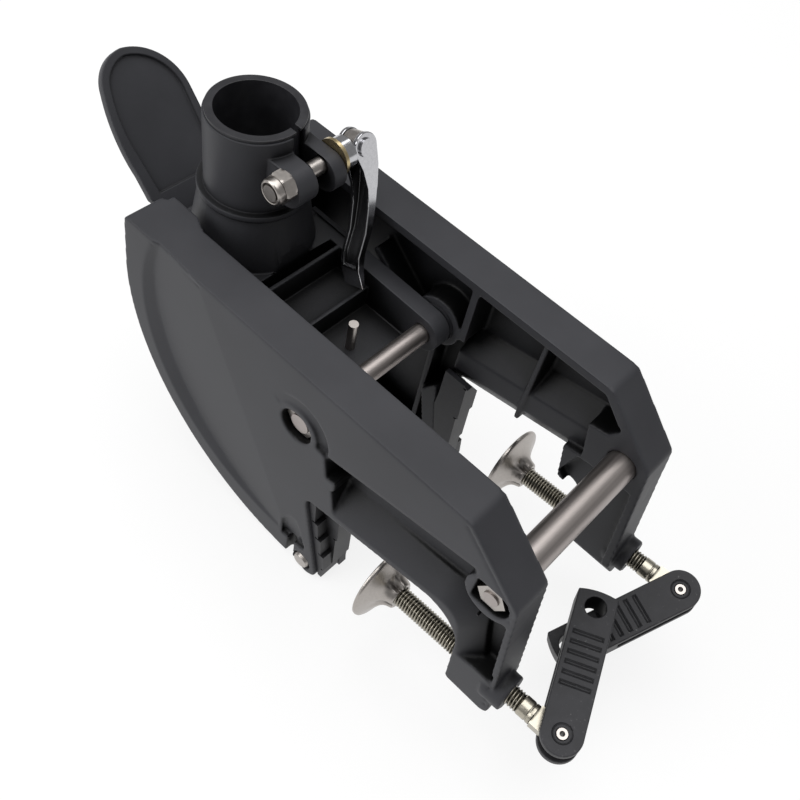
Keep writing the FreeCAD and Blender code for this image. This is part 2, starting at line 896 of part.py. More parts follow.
# Fine groove just under the outer top edge, round the chin and down the front.
groove = outline(
    plate,
    "EdgeGroove",
    "XZ_Plane",
    [
        (dim.end_x - 1.0, -1.7),
        (dim.top_x - 0.7, -1.7),
        (dim.chin_x - 1.6, dim.chin_z - 0.9),
        (dim.toe_x - 2.2, dim.toe_z + 6.0),
        (dim.toe_x - 3.2, dim.toe_z + 6.0),
        (dim.chin_x - 2.6, dim.chin_z - 1.4),
        (dim.top_x - 1.2, -2.7),
        (dim.end_x - 1.0, -2.7),
    ],
    height=plate_out - 0.6,
)
pocket(plate, groove, 2.0, "EdgeGrooveCut", back=True)

# Notches of the tilt lock, in the outer edge of the thick ring.
for step in range(6):
    angle = 181.3 - 15.0 * step if step < 2 else 181.3 + 15.0 * (step - 1)
    primitive(
        plate, "SubtractiveCylinder", f"LockNotch{step + 1}",
        (
            dim.pivot_x + (dim.fan_r + 0.4) * math.cos(math.radians(angle)),
            -(dim.lip_in - 1.0),
            dim.pivot_z + (dim.fan_r + 0.4) * math.sin(math.radians(angle)),
        ),
        rotation=AGAINST_Y, Radius=4.2, Height=dim.plate_in - dim.lip_in + 0.8,
    )
node("starboard_plate", plate)
node("port_plate", mirror_image("PortPlate", plate))

# Crossbar between the arms, with threaded ends, washers and nuts.
bar_half = dim.plate_in + 1.4
bar = fuse("CrossbarSolid", [
    cylinder("CrossbarRod", dim.bar_r, 2.0 * bar_half, (dim.bar_x, -bar_half, dim.bar_z), ALONG_Y),
    cylinder(
        "CrossbarStuds", dim.stud_r, 2.0 * (plate_out - 0.4),
        (dim.bar_x, -(plate_out - 0.4), dim.bar_z), ALONG_Y,
    ),
])
node("crossbar", bar)
washers = []
nuts = []
for side, turn in ((1.0, ALONG_Y), (-1.0, AGAINST_Y)):
    tag = "Port" if side > 0 else "Starboard"
    seat = side * (plate_out - nut_seat)
    washer = cut(
        f"{tag}BarWasher",
        cylinder(f"{tag}WasherDisc", 5.9, 0.8, (dim.bar_x, seat, dim.bar_z), turn),
        cylinder(f"{tag}WasherBore", dim.stud_r + 0.15, 0.8, (dim.bar_x, seat, dim.bar_z), turn),
    )
    washers.append(washer)
    seat = side * (plate_out - nut_seat + 0.8)
    nut = cut(
        f"{tag}BarNut",
        prism(f"{tag}NutHex", 6, 5.7, 3.2, (dim.bar_x, seat, dim.bar_z), turn),
        cylinder(f"{tag}NutBore", dim.stud_r + 0.05, 3.2, (dim.bar_x, seat, dim.bar_z), turn),
    )
    nuts.append(nut)
node("crossbar_washers", group("CrossbarWashers", washers))
node("crossbar_nuts", group("CrossbarNuts", nuts))

# Pivot bolt, its nut and the two washers beside the head's cheeks.
bolt_seat = plate_out - counterbore
bolt = fuse("PivotBoltSolid", [
    cylinder(
        "PivotShank", dim.bolt_r, 2.0 * bolt_seat + 7.4,
        (dim.pivot_x, -(bolt_seat + 7.4), dim.pivot_z), ALONG_Y,
    ),
    prism("PivotHead", 6, 7.0, 5.3, (dim.pivot_x, bolt_seat, dim.pivot_z), ALONG_Y),
])
node("pivot_bolt", bolt)
nut = cut(
    "PivotNutSolid",
    prism("PivotNutHex", 6, 7.0, 6.4, (dim.pivot_x, -bolt_seat, dim.pivot_z), AGAINST_Y),
    cylinder("PivotNutBore", dim.bolt_r + 0.05, 6.4, (dim.pivot_x, -bolt_seat, dim.pivot_z), AGAINST_Y),
)
node("pivot_nut", nut)
washers = []
for side, turn in ((1.0, ALONG_Y), (-1.0, AGAINST_Y)):
    tag = "Port" if side > 0 else "Starboard"
    seat = side * (dim.cheek_out + 0.1)
    washers.append(cut(
        f"{tag}PivotWasher",
        cylinder(f"{tag}PivotDisc", 8.2, 1.2, (dim.pivot_x, seat, dim.pivot_z), turn),
        cylinder(f"{tag}PivotBore", dim.bolt_r + dim.running, 1.2, (dim.pivot_x, seat, dim.pivot_z), turn),
    ))
node("pivot_washers", group("PivotWashers", washers))

# Jaw pads: saw-toothed blocks on the clamping faces, each with a screwed tab.
jaw_pad = new_body("StarboardJawPad")
tooth_pitch = 10.2
first_groove = dim.jaw_z + 7.7
face_x = dim.jaw_x + 1.9
inner = [(dim.seat_x + 1.8, -52.0), (face_x - 1.0, -52.0)]
for tooth in range(4):
    groove_z = first_groove + 2.0 * tooth_pitch * (3 - tooth)
    inner.append((face_x + 0.8, groove_z))
    inner.append((face_x - 1.2, groove_z - 0.1))
    inner.append((face_x - 1.2, groove_z - 0.9))
    inner.append((face_x, groove_z - 0.9))
inner.append((face_x, dim.jaw_z + 0.5))
inner.append((dim.jaw_x, dim.jaw_z + 0.5))
inner.append((dim.seat_x + 1.25, dim.seat_z - 5.4))
inner.append((dim.seat_x + 1.8, dim.seat_z + 2.5))
face = outline(jaw_pad, "PadInner", "XZ_Plane", inner, height=dim.plate_in)
pad(jaw_pad, face, 9.7, "PadInnerBlock")
outer = [(dim.seat_x + 1.8, dim.seat_z + 9.0), (dim.seat_x + 4.0, dim.seat_z + 9.0)]
for tooth in range(4):
    groove_z = first_groove + tooth_pitch * (3 - tooth)
    tooth_x = face_x - 2.8 * (3 - tooth)
    outer.append((tooth_x + 0.6, groove_z))
    outer.append((tooth_x - 0.8, groove_z - 0.1))
    outer.append((tooth_x - 0.8, groove_z - 0.9))
    outer.append((tooth_x + 2.2 if tooth < 3 else face_x, groove_z - 0.9))
outer.append((face_x, dim.jaw_z + 0.5))
outer.append((dim.jaw_x, dim.jaw_z + 0.5))
outer.append((dim.seat_x + 1.25, dim.seat_z - 5.4))
outer.append((dim.seat_x + 1.8, dim.seat_z + 2.5))
face = outline(jaw_pad, "PadOuter", "XZ_Plane", outer, height=dim.plate_in + 9.0)
pad(jaw_pad, face, dim.plate_wide - 10.8, "PadOuterBlock")
slope = outline(
    jaw_pad, "PadSlope", "YZ_Plane",
    [(-46.0, -71.9), (-27.8, -48.0), (-27.8, -40.0), (-46.0, -40.0)],
    height=80.0,
)
pocket(jaw_pad, slope, 20.0, "PadSlopeCut", back=True)
tab = outline(
    jaw_pad, "PadTab", "XZ_Plane",
    [
        (dim.jaw_x - 13.4, dim.jaw_z - 1.5),
        (dim.jaw_x + 2.6, dim.jaw_z - 1.5),
        (dim.jaw_x + 1.4, dim.jaw_z + 8.5),
        (dim.jaw_x - 13.4, dim.jaw_z + 8.5),
    ],
    height=dim.plate_in + 0.4,
)
pad(jaw_pad, tab, 3.9, "PadTabPlate")
primitive(
    jaw_pad, "SubtractiveCylinder", "PadTabHole",
    (tab_screw_x, -(dim.plate_in - 1.0), tab_screw_z), rotation=AGAINST_Y,
    Radius=2.55, Height=6.0,
)
node("starboard_jaw_pad", jaw_pad)
node("port_jaw_pad", mirror_image("PortJawPad", jaw_pad))
screws = []
for side, turn in ((1.0, AGAINST_Y), (-1.0, ALONG_Y)):
    tag = "Port" if side > 0 else "Starboard"
    top = side * (plate_out + 0.6)
    screws.append(fuse(f"{tag}PadScrew", [
        cone(f"{tag}PadScrewHead", 3.4, 4.5, 2.4, (tab_screw_x, top, tab_screw_z), turn),
        cylinder(f"{tag}PadScrewShank", 2.5, 16.0, (tab_screw_x, top, tab_screw_z), turn),
    ]))
node("pad_screws", group("PadScrews", screws))

# Clamp screws. Each is turned parts in a row along its own X axis, moved to
# its place afterwards: a foot, a screw with a flat tongue, a roll pin and a
# folding handle.


def axis_point(along, side):
    """A point of a clamp screw's axis, as plain numbers."""
    return Vector(*[as_size(size).value for size in on_screw(as_size(along), side)])


def screw_spot(side, roll):
    """Placement of a clamp screw's own frame, rolled about its axis."""
    rise = Rotation(Vector(0, 1, 0), -dim.screw_rise.value)
    return Placement(axis_point(0.0, side), rise * Rotation(Vector(1, 0, 0), roll))


shank_end = dim.pin_at - dim.shoulder
for tag, side, roll in (
    ("Starboard", -1.0, dim.grip_roll_near.value),
    ("Port", 1.0, dim.grip_roll_far.value),
):
    word = tag.lower()
    spot = screw_spot(side, roll)
    foot = new_body(f"{tag}Foot")
    profile = outline(
        foot, f"{tag}FootProfile", "XY_Plane",
        [
            (dim.foot_at + 1.2, 0.0),
            (dim.foot_at + 1.2, 10.5),
            (dim.foot_at, 14.8),
            (dim.foot_at, dim.foot_r),
            (dim.foot_at + 1.5, dim.foot_r),
            (dim.foot_at + 4.4, 9.4),
            (dim.foot_at + 6.6, 6.6),
            (dim.foot_at + 9.6, 5.9),
            (dim.foot_at + 9.6, dim.screw_r + 0.1),
            (dim.foot_at + 2.8, dim.screw_r + 0.1),
            (dim.foot_at + 2.8, 0.0),
        ],
    )
    turned = foot.newObject("PartDesign::Revolution", f"{tag}FootTurn")
    turned.Profile = profile
    turned.ReferenceAxis = (profile, ["H_Axis"])
    turned.Angle = 360.0
    finished(foot, turned)
    foot.Placement = spot
    node(f"{word}_foot", foot)
    tip = dim.foot_at + 3.0
    screw = fuse(f"{tag}ClampScrew", [
        cylinder(f"{tag}ScrewThread", dim.screw_r, shank_end - 4.8 - tip, (tip, 0, 0), ALONG_X),
        cylinder(f"{tag}ScrewNeck", dim.screw_r - 0.5, 5.0, (shank_end - 5.0, 0, 0), ALONG_X),
        cylinder(f"{tag}ScrewCollar", dim.screw_r, 1.6, (shank_end - 1.6, 0, 0), ALONG_X),
        box(
            f"{tag}Tongue", dim.shoulder + 1.0, 8.0, dim.tongue,
            (shank_end - 1.0, -4.0, -dim.tongue / 2.0),
        ),
        cylinder(f"{tag}TongueEnd", 4.0, dim.tongue, (dim.pin_at, 0, -dim.tongue / 2.0)),
    ])
    bored = cut(
        f"{tag}ScrewBored", screw,
        cylinder(f"{tag}TongueHole", dim.roll_pin_r + 0.03, 8.0, (dim.pin_at, 0, -4.0)),
    )
    bored.Placement = spot
    node(f"{word}_clamp_screw", bored)
    pin = cut(
        f"{tag}RollPin",
        cylinder(
            f"{tag}RollPinRod", dim.roll_pin_r, dim.grip_thick - 0.6,
            (dim.pin_at, 0, -(dim.grip_thick - 0.6) / 2.0),
        ),
        cylinder(f"{tag}RollPinBore", dim.roll_pin_r - 1.0, dim.grip_thick, (dim.pin_at, 0, -dim.grip_thick / 2.0)),
    )
    pin.Placement = spot
    node(f"{word}_roll_pin", pin)
    # The handle lies along its own X axis with the roll pin at its origin.
    grip = new_body(f"{tag}Handle")
    end_r = dim.grip_wide / 2.0
    edge = outline(
        grip, f"{tag}HandleOutline", "XY_Plane",
        [
            (0.0, -end_r),
            (dim.grip_long - 1.6, -end_r, 26.0),
            (dim.grip_long - 1.6, end_r),
            (0.0, end_r, end_r),
            (-end_r, 0.0, end_r),
        ],
    )
    pad(grip, edge, dim.grip_thick, f"{tag}HandleBlock", middle=True)
    fork = outline(
        grip, f"{tag}HandleFork", "XY_Plane",
        [
            (-end_r - 1.0, -end_r - 1.0),
            (31.0, -end_r - 1.0),
            (31.0, end_r + 1.0),
            (-end_r - 1.0, end_r + 1.0),
        ],
    )
    pocket(grip, fork, dim.tongue + 0.6, f"{tag}HandleForkCut", middle=True)
    primitive(
        grip, "SubtractiveCylinder", f"{tag}HandlePinHole", (0, 0, -dim.grip_thick),
        Radius=dim.roll_pin_r + dim.running, Height=2.0 * dim.grip_thick,
    )
    primitive(
        grip, "SubtractiveCylinder", f"{tag}HandleEye", (48.0, 0, -dim.grip_thick),
        Radius=4.0, Height=2.0 * dim.grip_thick,
    )
    for face_side in (1.0, -1.0):
        mark = "Top" if face_side > 0 else "Low"
        primitive(
            grip, "SubtractiveCylinder", f"{tag}HandleSink{mark}",
            (0, 0, face_side * (dim.grip_thick / 2.0 + 0.3) - 0.8),
            Radius=3.5, Height=1.6,
        )
        for rib_number in range(6):
            primitive(
                grip, "SubtractiveBox", f"{tag}Grip{mark}{rib_number + 1}",
                (16.5 + 3.9 * rib_number, -5.6, face_side * (dim.grip_thick / 2.0 + 0.1) - 0.7),
                Length=1.3, Width=11.2, Height=1.4,
            )
    hinge = spot.multiply(Placement(Vector(dim.pin_at.value, 0, 0), Rotation(Vector(0, 0, 1), dim.grip_fold.value)))
    grip.Placement = hinge
    node(f"{word}_handle", grip)

# Tilting head: collar, skirt, base, two cheeks to the pivot and the clamp's ears.
head = new_body("TiltHead")
yoke = outline(
    head, "YokeOutline", "XZ_Plane",
    [
        (6.0, -20.0),
        (dim.pivot_x - 27.0, -21.6),
        (dim.pivot_x + 1.2, dim.pivot_z + 7.9, -8.0),
        (dim.pivot_x + 1.2, dim.pivot_z - 7.9),
        (dim.pivot_x - 24.0, -42.5),
        (6.0, dim.base_z),
    ],
)
pad(head, yoke, 2.0 * dim.cheek_out, "YokePad", middle=True)
base = outline(
    head, "BaseOutline", "XZ_Plane",
    [(-17.0, -20.0), (10.0, -20.0), (10.0, dim.base_z), (-17.0, dim.base_z)],
)
pad(head, base, 2.0 * dim.base_half, "BasePad", middle=True)
primitive(
    head, "AdditiveCylinder", "Collar", (0, 0, -24.0),
    Radius=dim.collar_r, Height=dim.collar_top + 24.0,
)
primitive(head, "AdditiveCone", "Skirt", (0, 0, -21.0), Radius1=24.0, Radius2=19.8, Height=24.0)
primitive(head, "AdditiveCylinder", "SkirtRing", (0, 0, 2.0), Radius=20.8, Height=2.4)
pit = outline(
    head, "Pit", "XZ_Plane",
    [
        (28.0, -10.0), (90.0, -10.0), (90.0, -38.5), (45.0, -38.5),
        (45.0, -29.0), (43.2, -29.0), (43.2, -31.5), (28.0, -31.5),
    ],
)
pocket(head, pit, 2.0 * dim.cheek_in, "PitCut", middle=True)
well = outline(
    head, "Well", "XZ_Plane",
    [(22.6, -10.0), (26.2, -10.0), (26.2, -31.5), (22.6, -31.5)],
)
pocket(head, well, 2.0 * dim.cheek_in, "WellCut", middle=True)
primitive(
    head, "SubtractiveBox", "PivotGap", (66.0, -dim.cheek_in, -60.0),
    Length=30.0, Width=2.0 * dim.cheek_in, Height=50.0,
)
for tag, high, thick, reach in (("Near", -0.3, 9.1, 31.6), ("Far", -12.5, 5.9, 33.0)):
    ear = outline(
        head, f"{tag}Ear", "XZ_Plane",
        [
            (8.0, 14.5),
            (reach - 7.0, 14.5, 7.0),
            (reach, 21.5, 7.0),
            (reach - 7.0, 28.5),
            (8.0, 28.5),
        ],
        height=high,
    )
    pad(head, ear, thick, f"{tag}EarPad")
# Two lugs carry the tilt lever's hinge pin, outboard of the base.
lock_angle = math.radians(181.3)
lock_x = dim.pivot_x + (dim.fan_r + 4.4) * math.cos(lock_angle)
lock_z = dim.pivot_z + (dim.fan_r + 4.4) * math.sin(lock_angle)
hinge_x = lock_x - 2.7
hinge_z = lock_z - 15.2
lug = outline(
    head, "LugOutline", "XZ_Plane",
    [
        (-12.0, dim.base_z + 12.0),
        (hinge_x, hinge_z + 5.4, 5.4),
        (hinge_x, hinge_z - 5.4),
        (-12.0, dim.base_z),
    ],
)
pad(head, lug, 2.0 * (dim.base_half - 4.0), "LugPad", middle=True)
primitive(
    head, "SubtractiveBox", "LugGap", (hinge_x - 16.0, -14.4, -60.0),
    Length=25.0, Width=28.8, Height=60.0,
)
primitive(
    head, "SubtractiveCylinder", "LeverPinHole", (hinge_x, -30.0, hinge_z), rotation=ALONG_Y,
    Radius=2.6, Height=60.0,
)
primitive(
    head, "SubtractiveCylinder", "CollarBore", (0, 0, -60.0),
    Radius=dim.bore_r + dim.bush_wall + 0.05, Height=110.0,
)
primitive(
    head, "SubtractiveBox", "ClampSlit", (8.0, 0.3, 6.5),
    Length=30.0, Width=6.3, Height=40.0,
)
primitive(
    head, "SubtractiveCylinder", "EyeBoltHole", (dim.clamp_x, -20.0, dim.clamp_z), rotation=ALONG_Y,
    Radius=dim.eye_r + 0.2, Height=40.0,
)
primitive(
    head, "SubtractiveCylinder", "HeadPivotHole", (dim.pivot_x, -40.0, dim.pivot_z), rotation=ALONG_Y,
    Radius=dim.bolt_r + dim.running, Height=80.0,
)
node("tilt_head", head)

# Split bush with a flange, in the top of the collar.
bush = new_body("CollarBush")
primitive(
    bush, "AdditiveCylinder", "BushSleeve", (0, 0, -2.0),
    Radius=dim.bore_r + dim.bush_wall, Height=dim.collar_top + 2.0,
)
primitive(
    bush, "AdditiveCylinder", "BushFlange", (0, 0, dim.collar_top),
    Radius=dim.collar_r - 0.6, Height=1.2,
)
primitive(bush, "SubtractiveCylinder", "BushBore", (0, 0, -10.0), Radius=dim.bore_r, Height=60.0)
primitive(bush, "SubtractiveBox", "BushSlit", (10.0, 2.2, -10.0), Length=10.0, Width=2.4, Height=60.0)
node("collar_bush", bush)

# Clamp: eye bolt through both ears, nut, washers, trunnion pin and cam lever.
cam_turn = Rotation(
    Vector(math.sin(math.radians(dim.cam_lean.value)), 0, -math.cos(math.radians(dim.cam_lean.value))),
    Vector(0, 1, 0),
    Vector(math.cos(math.radians(dim.cam_lean.value)), 0, math.sin(math.radians(dim.cam_lean.value))),
    "ZXY",
)
eye_centre = (dim.clamp_x, dim.cam_y, dim.clamp_z)


def across_eye(distance):
    """A point on the trunnion pin's axis, a distance from the eye bolt's."""
    return (
        dim.clamp_x + distance * cosine(dim.cam_lean),
        dim.cam_y,
        dim.clamp_z + distance * sine(dim.cam_lean),
    )


eye_bolt = cut(
    "EyeBoltSolid",
    fuse("EyeBoltBlank", [
        cylinder("EyeShank", dim.eye_r, dim.cam_y + 16.6, (dim.clamp_x, -16.6, dim.clamp_z), ALONG_Y),
        cylinder("Eye", 5.0, 5.6, across_eye(-2.8), cam_turn),
    ]),
    cylinder("EyeHole", 2.6, 12.0, across_eye(-6.0), cam_turn),
)
node("clamp_eye_bolt", eye_bolt)
nut = cut(
    "ClampNutSolid",
    fuse("ClampNutBlank", [
        prism("ClampNutHex", 6, 5.77, 4.6, (dim.clamp_x, -8.8, dim.clamp_z), AGAINST_Y),
        cylinder("ClampNutCap", 4.6, 6.2, (dim.clamp_x, -8.8, dim.clamp_z), AGAINST_Y),
    ]),
    cylinder("ClampNutBore", dim.eye_r + 0.05, 8.0, (dim.clamp_x, -8.8, dim.clamp_z), AGAINST_Y),
)
node("clamp_nut", nut)
washer = cut(
    "ClampWasherSolid",
    cylinder("ClampWasherDisc", 7.0, 1.4, (dim.clamp_x, 12.5, dim.clamp_z), ALONG_Y),
    cylinder("ClampWasherBore", dim.eye_r + 0.2, 1.4, (dim.clamp_x, 12.5, dim.clamp_z), ALONG_Y),
)
node("clamp_washer", washer)
saddle = cut(
    "CamSaddleSolid",
    cylinder("CamSaddleDisc", 6.0, 4.6, (dim.clamp_x, 13.9, dim.clamp_z), ALONG_Y),
    cylinder("CamSaddleBore", dim.eye_r + 0.2, 4.6, (dim.clamp_x, 13.9, dim.clamp_z), ALONG_Y),
)
node("cam_saddle", saddle)
trunnion = fuse("CamPinSolid", [
    cylinder("CamPinRod", 2.5, 11.4, across_eye(-5.7), cam_turn),
    cylinder("CamPinHead", 3.4, 0.9, across_eye(4.8), cam_turn),
    cylinder("CamPinTail", 3.2, 0.9, across_eye(-5.7), cam_turn),
])
node("cam_pin", trunnion)
cam = new_body("CamLever")
stamped = outline(
    cam, "CamOutline", "XY_Plane",
    [
        (0.0, -5.4),
        (8.0, -2.8),
        (15.0, -2.0),
        (22.0, -3.2),
        (31.0, -6.6),
        (39.0, -12.0),
        (44.0, -13.2),
        (52.0, -12.6),
        (52.0, -11.0),
        (44.0, -10.2),
        (38.5, -8.2),
        (31.0, -3.0),
        (22.0, 0.8),
        (15.0, 3.0),
        (8.0, 4.8),
        (0.0, 5.4, 5.4),
        (-5.4, 0.0, 5.4),
    ],
)
pad(cam, stamped, 9.4, "CamBlank", middle=True)
channel = outline(
    cam, "CamChannel", "XY_Plane",
    [
        (-7.0, -7.0),
        (9.0, -7.0),
        (30.0, -9.0),
        (43.0, -16.0),
        (43.0, -11.7),
        (37.8, -9.6),
        (30.4, -4.4),
        (21.6, -0.7),
        (14.6, 1.5),
        (7.6, 3.3),
        (-7.0, 7.0),
    ],
)
pocket(cam, channel, 6.2, "CamChannelCut", middle=True)
primitive(cam, "SubtractiveCylinder", "CamPinBore", (0, 0, -10.0), Radius=2.6, Height=20.0)
cam.Placement = Placement(Vector(*[size.value for size in eye_centre]), cam_turn)
node("cam_lever", cam)

# Small upright pin in the floor between the cheeks.
node("stop_pin", cylinder("StopPin", 1.9, 13.5, (56.5, -0.8, -38.5)))

# Tilt lever: a broad paddle that leans outboard, hinged under the base.
paddle = new_body("TiltLever")
ways = math.radians(dim.lever_lean.value)
paddle_turn = Rotation(
    Vector(0, 1, 0),
    Vector(-math.sin(ways), 0, math.cos(ways)),
    Vector(math.cos(ways), 0, math.sin(ways)),
    "ZXY",
)
blade = outline(
    paddle, "PaddleOutline", "XY_Plane",
    [
        (-13.0, -50.0),
        (13.0, -50.0),
        (13.0, -42.0),
        (18.4, -30.0),
        (18.4, 1.5, 22.0),
        (-1.7, 23.6, 15.5),
        (-16.4, 12.0, 80.0),
        (-19.9, -20.0),
        (-19.9, -30.0),
        (-13.0, -42.0),
    ],
    height=-4.0,
)
pad(paddle, blade, 4.0, "PaddleBlade")
dish = outline(
    paddle, "PaddleDish", "XY_Plane",
    [
        (-15.0, -29.0),
        (14.0, -29.0),
        (15.4, 1.5, 19.2),
        (-1.7, 20.6, 13.0),
        (-13.3, 10.8, 60.0),
        (-16.2, -8.0),
    ],
    height=-1.2,
)
pocket(paddle, dish, 5.0, "PaddleDishCut", back=True)
paddle.Placement = Placement(Vector(dim.lever_x.value, 0, 0), paddle_turn)
arm = box(
    "LeverArm", 6.0, 26.0, 20.0, (hinge_x - 3.0, -13.0, hinge_z),
)
lever = cut(
    "TiltLeverSolid",
    fuse("TiltLeverBlank", [
        paddle, arm,
        cylinder("LeverEye", 5.0, 26.0, (hinge_x, -13.0, hinge_z), ALONG_Y),
        cylinder("LockPinHub", 5.9, 26.0, (lock_x, -13.0, lock_z), ALONG_Y),
    ]),
    fuse("TiltLeverHoles", [
        cylinder("LeverEyeHole", 2.6, 40.0, (hinge_x, -20.0, hinge_z), ALONG_Y),
        cylinder("LockPinHole", 4.05, 40.0, (lock_x, -20.0, lock_z), ALONG_Y),
    ]),
)
node("tilt_lever", lever)
node("lock_pin", cylinder("LockPin", 4.0, 56.6, (lock_x, -28.3, lock_z), ALONG_Y))
node("tilt_lever_pin", cylinder("TiltLeverPin", 2.5, 44.0, (hinge_x, -22.0, hinge_z), ALONG_Y))

# Every object must be sound before anything is written.
doc.recompute()
for item in doc.Objects:
    if "Invalid" in item.State or "Error" in item.State:
        raise RuntimeError(f"{item.Label} fails to build")
for label, item in nodes.items():
    if item.Shape.isNull() or not item.Shape.isValid():
        raise RuntimeError(f"{label} has no sound shape")
os.makedirs("parts", exist_ok=True)
for label, item in nodes.items():
    item.Shape.exportStep(f"parts/{label}.step")
    print(label, round(item.Shape.Volume), len(item.Shape.Solids))
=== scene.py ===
import logging
import math
from dataclasses import dataclass, field
from enum import Enum
from typing import Callable, Optional

import bmesh
import bpy
from mathutils import Matrix, Vector


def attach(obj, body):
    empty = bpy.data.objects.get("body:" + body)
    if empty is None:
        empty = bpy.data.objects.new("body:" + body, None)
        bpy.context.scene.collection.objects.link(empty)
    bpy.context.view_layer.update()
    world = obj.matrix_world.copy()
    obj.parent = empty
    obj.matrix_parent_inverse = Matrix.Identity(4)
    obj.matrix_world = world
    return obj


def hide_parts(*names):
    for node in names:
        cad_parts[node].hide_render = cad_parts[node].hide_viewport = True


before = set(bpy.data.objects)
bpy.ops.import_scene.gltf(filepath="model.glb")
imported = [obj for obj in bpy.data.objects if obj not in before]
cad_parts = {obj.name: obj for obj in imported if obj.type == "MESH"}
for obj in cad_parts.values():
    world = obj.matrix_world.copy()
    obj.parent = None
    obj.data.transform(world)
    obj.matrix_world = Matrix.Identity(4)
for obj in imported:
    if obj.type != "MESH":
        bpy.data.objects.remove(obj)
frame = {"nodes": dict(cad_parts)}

LOG = logging.getLogger("clamp_bracket")
MM = 0.001
WELD = 0.000002
FLAT = math.radians(0.4)


class Slot(Enum):
    """Material slots of the record. The script's own pieces do not take their finish from them; nothing here
    reads them.
    """

    CASTING = "casting"
    STAINLESS = "stainless"
    SCREW = "screw_steel"
    HANDLE = "handle_plastic"
    NYLON = "nylon"
    CHROME = "chrome"


class Side(Enum):
    """The two sides of the bracket, by the sign of Y."""

    STARBOARD = -1
    PORT = 1

    @property
    def word(self) -> str:
        """The side's name as the frame's pieces use it."""
        return self.name.lower()


def point(x: float, y: float, z: float) -> Vector:
    """A point given in millimetres.

    Args:
        x: place inboard.
        y: place to port.
        z: height.

    Returns:
        The point in metres.
    """
    return Vector((x * MM, y * MM, z * MM))


class Graph:
    """A short way to add and join the nodes of a material."""

    CLOSED = 0.52
    OPEN = 0.96

    def __init__(self, name: str) -> None:
        """Starts a material with its surface shader ready.

        Args:
            name: the material's name.
        """
        self.material = bpy.data.materials.new(name)
        self.material.use_nodes = True
        self.tree = self.material.node_tree
        self.shader = self.tree.nodes["Principled BSDF"]
        self.coords = self.tree.nodes.new("ShaderNodeTexCoord")

    def add(self, kind: str, **settings: object) -> bpy.types.Node:
        """Adds a node and sets its properties and inputs by name.

        Args:
            kind: the node's type.
            settings: properties of the node, or its inputs by name.

        Returns:
            The new node.
        """
        node = self.tree.nodes.new(kind)
        for name, value in settings.items():
            if name in node.inputs:
                node.inputs[name].default_value = value
            else:
                setattr(node, name, value)
        return node

    def join(self, source: bpy.types.NodeSocket, target: bpy.types.NodeSocket) -> None:
        """Joins an output to an input.

        Args:
            source: the output.
            target: the input.
        """
        self.tree.links.new(source, target)

    def noise(self, scale: float, detail: float = 3.0, stretch: tuple = (1.0, 1.0, 1.0)) -> bpy.types.Node:
        """Noise over the piece's own place in space.

        Args:
            scale: cells per metre.
            detail: octaves of the noise.
            stretch: scale of each axis, below 1 to draw the grain out along it.

        Returns:
            The noise node.
        """
        mapping = self.add("ShaderNodeMapping")
        mapping.inputs["Scale"].default_value = stretch
        self.join(self.coords.outputs["Object"], mapping.inputs["Vector"])
        node = self.add("ShaderNodeTexNoise", Scale=scale, Detail=detail)
        self.join(mapping.outputs["Vector"], node.inputs["Vector"])
        return node

    def spread(self, source: bpy.types.NodeSocket, low: float, high: float) -> bpy.types.NodeSocket:
        """Maps a value from 0 to 1 onto a range.

        Args:
            source: the value.
            low: the result at 0.
            high: the result at 1.

        Returns:
            The mapped value's socket.
        """
        node = self.add("ShaderNodeMapRange")
        node.inputs["To Min"].default_value = low
        node.inputs["To Max"].default_value = high
        self.join(source, node.inputs["Value"])
        return node.outputs["Result"]

    def ramp(self, source: bpy.types.NodeSocket, stops: tuple) -> bpy.types.NodeSocket:
        """Colour ramp.

        Args:
            source: the value that drives it.
            stops: two pairs of a value and its colour.

        Returns:
            The ramp's colour socket.
        """
        node = self.add("ShaderNodeValToRGB")
        for element, (value, color) in zip(node.color_ramp.elements, stops):
            element.position = value
            element.color = color
        self.join(source, node.inputs["Fac"])
        return node.outputs["Color"]

    def shaded(self, color: bpy.types.NodeSocket, reach: float, floor: float) -> bpy.types.NodeSocket:
        """Darkens a colour in the hollows of the piece by ambient occlusion: painted shade.

        Args:
            color: the colour on open faces.
            reach: how far a wall must stand off to count as open, in metres.
            floor: share of the colour that the painted shade leaves in the deepest hollows.

        Returns:
            The socket of the colour with its painted shade.
        """
        # Ambient occlusion paints shade into the colour where walls close in.
        hollow_shade = self.add("ShaderNodeAmbientOcclusion", samples=8, only_local=True, Distance=reach)
        share = self.ramp(hollow_shade.outputs["AO"], ((self.CLOSED, grey(floor)), (self.OPEN, grey(1.0))))
        mix = self.add("ShaderNodeMix", data_type="RGBA", blend_type="MULTIPLY")
        mix.inputs[0].default_value = 1.0
        self.join(color, mix.inputs[6])
        self.join(share, mix.inputs[7])
        return mix.outputs[2]

    def bump(self, source: bpy.types.NodeSocket, strength: float, depth: float) -> None:
        """Adds relief to the shader's normal.

        Args:
            source: height from 0 to 1.
            strength: strength of the relief.
            depth: height of the relief in metres.
        """
        node = self.add("ShaderNodeBump", Strength=strength, Distance=depth)
        self.join(source, node.inputs["Height"])
        self.join(node.outputs["Normal"], self.shader.inputs["Normal"])


def grey(value: float) -> tuple:
    """A neutral colour.

    Args:
        value: its level, from 0 to 1.

    Returns:
        Its four channels.
    """
    return (value, value, value, 1.0)


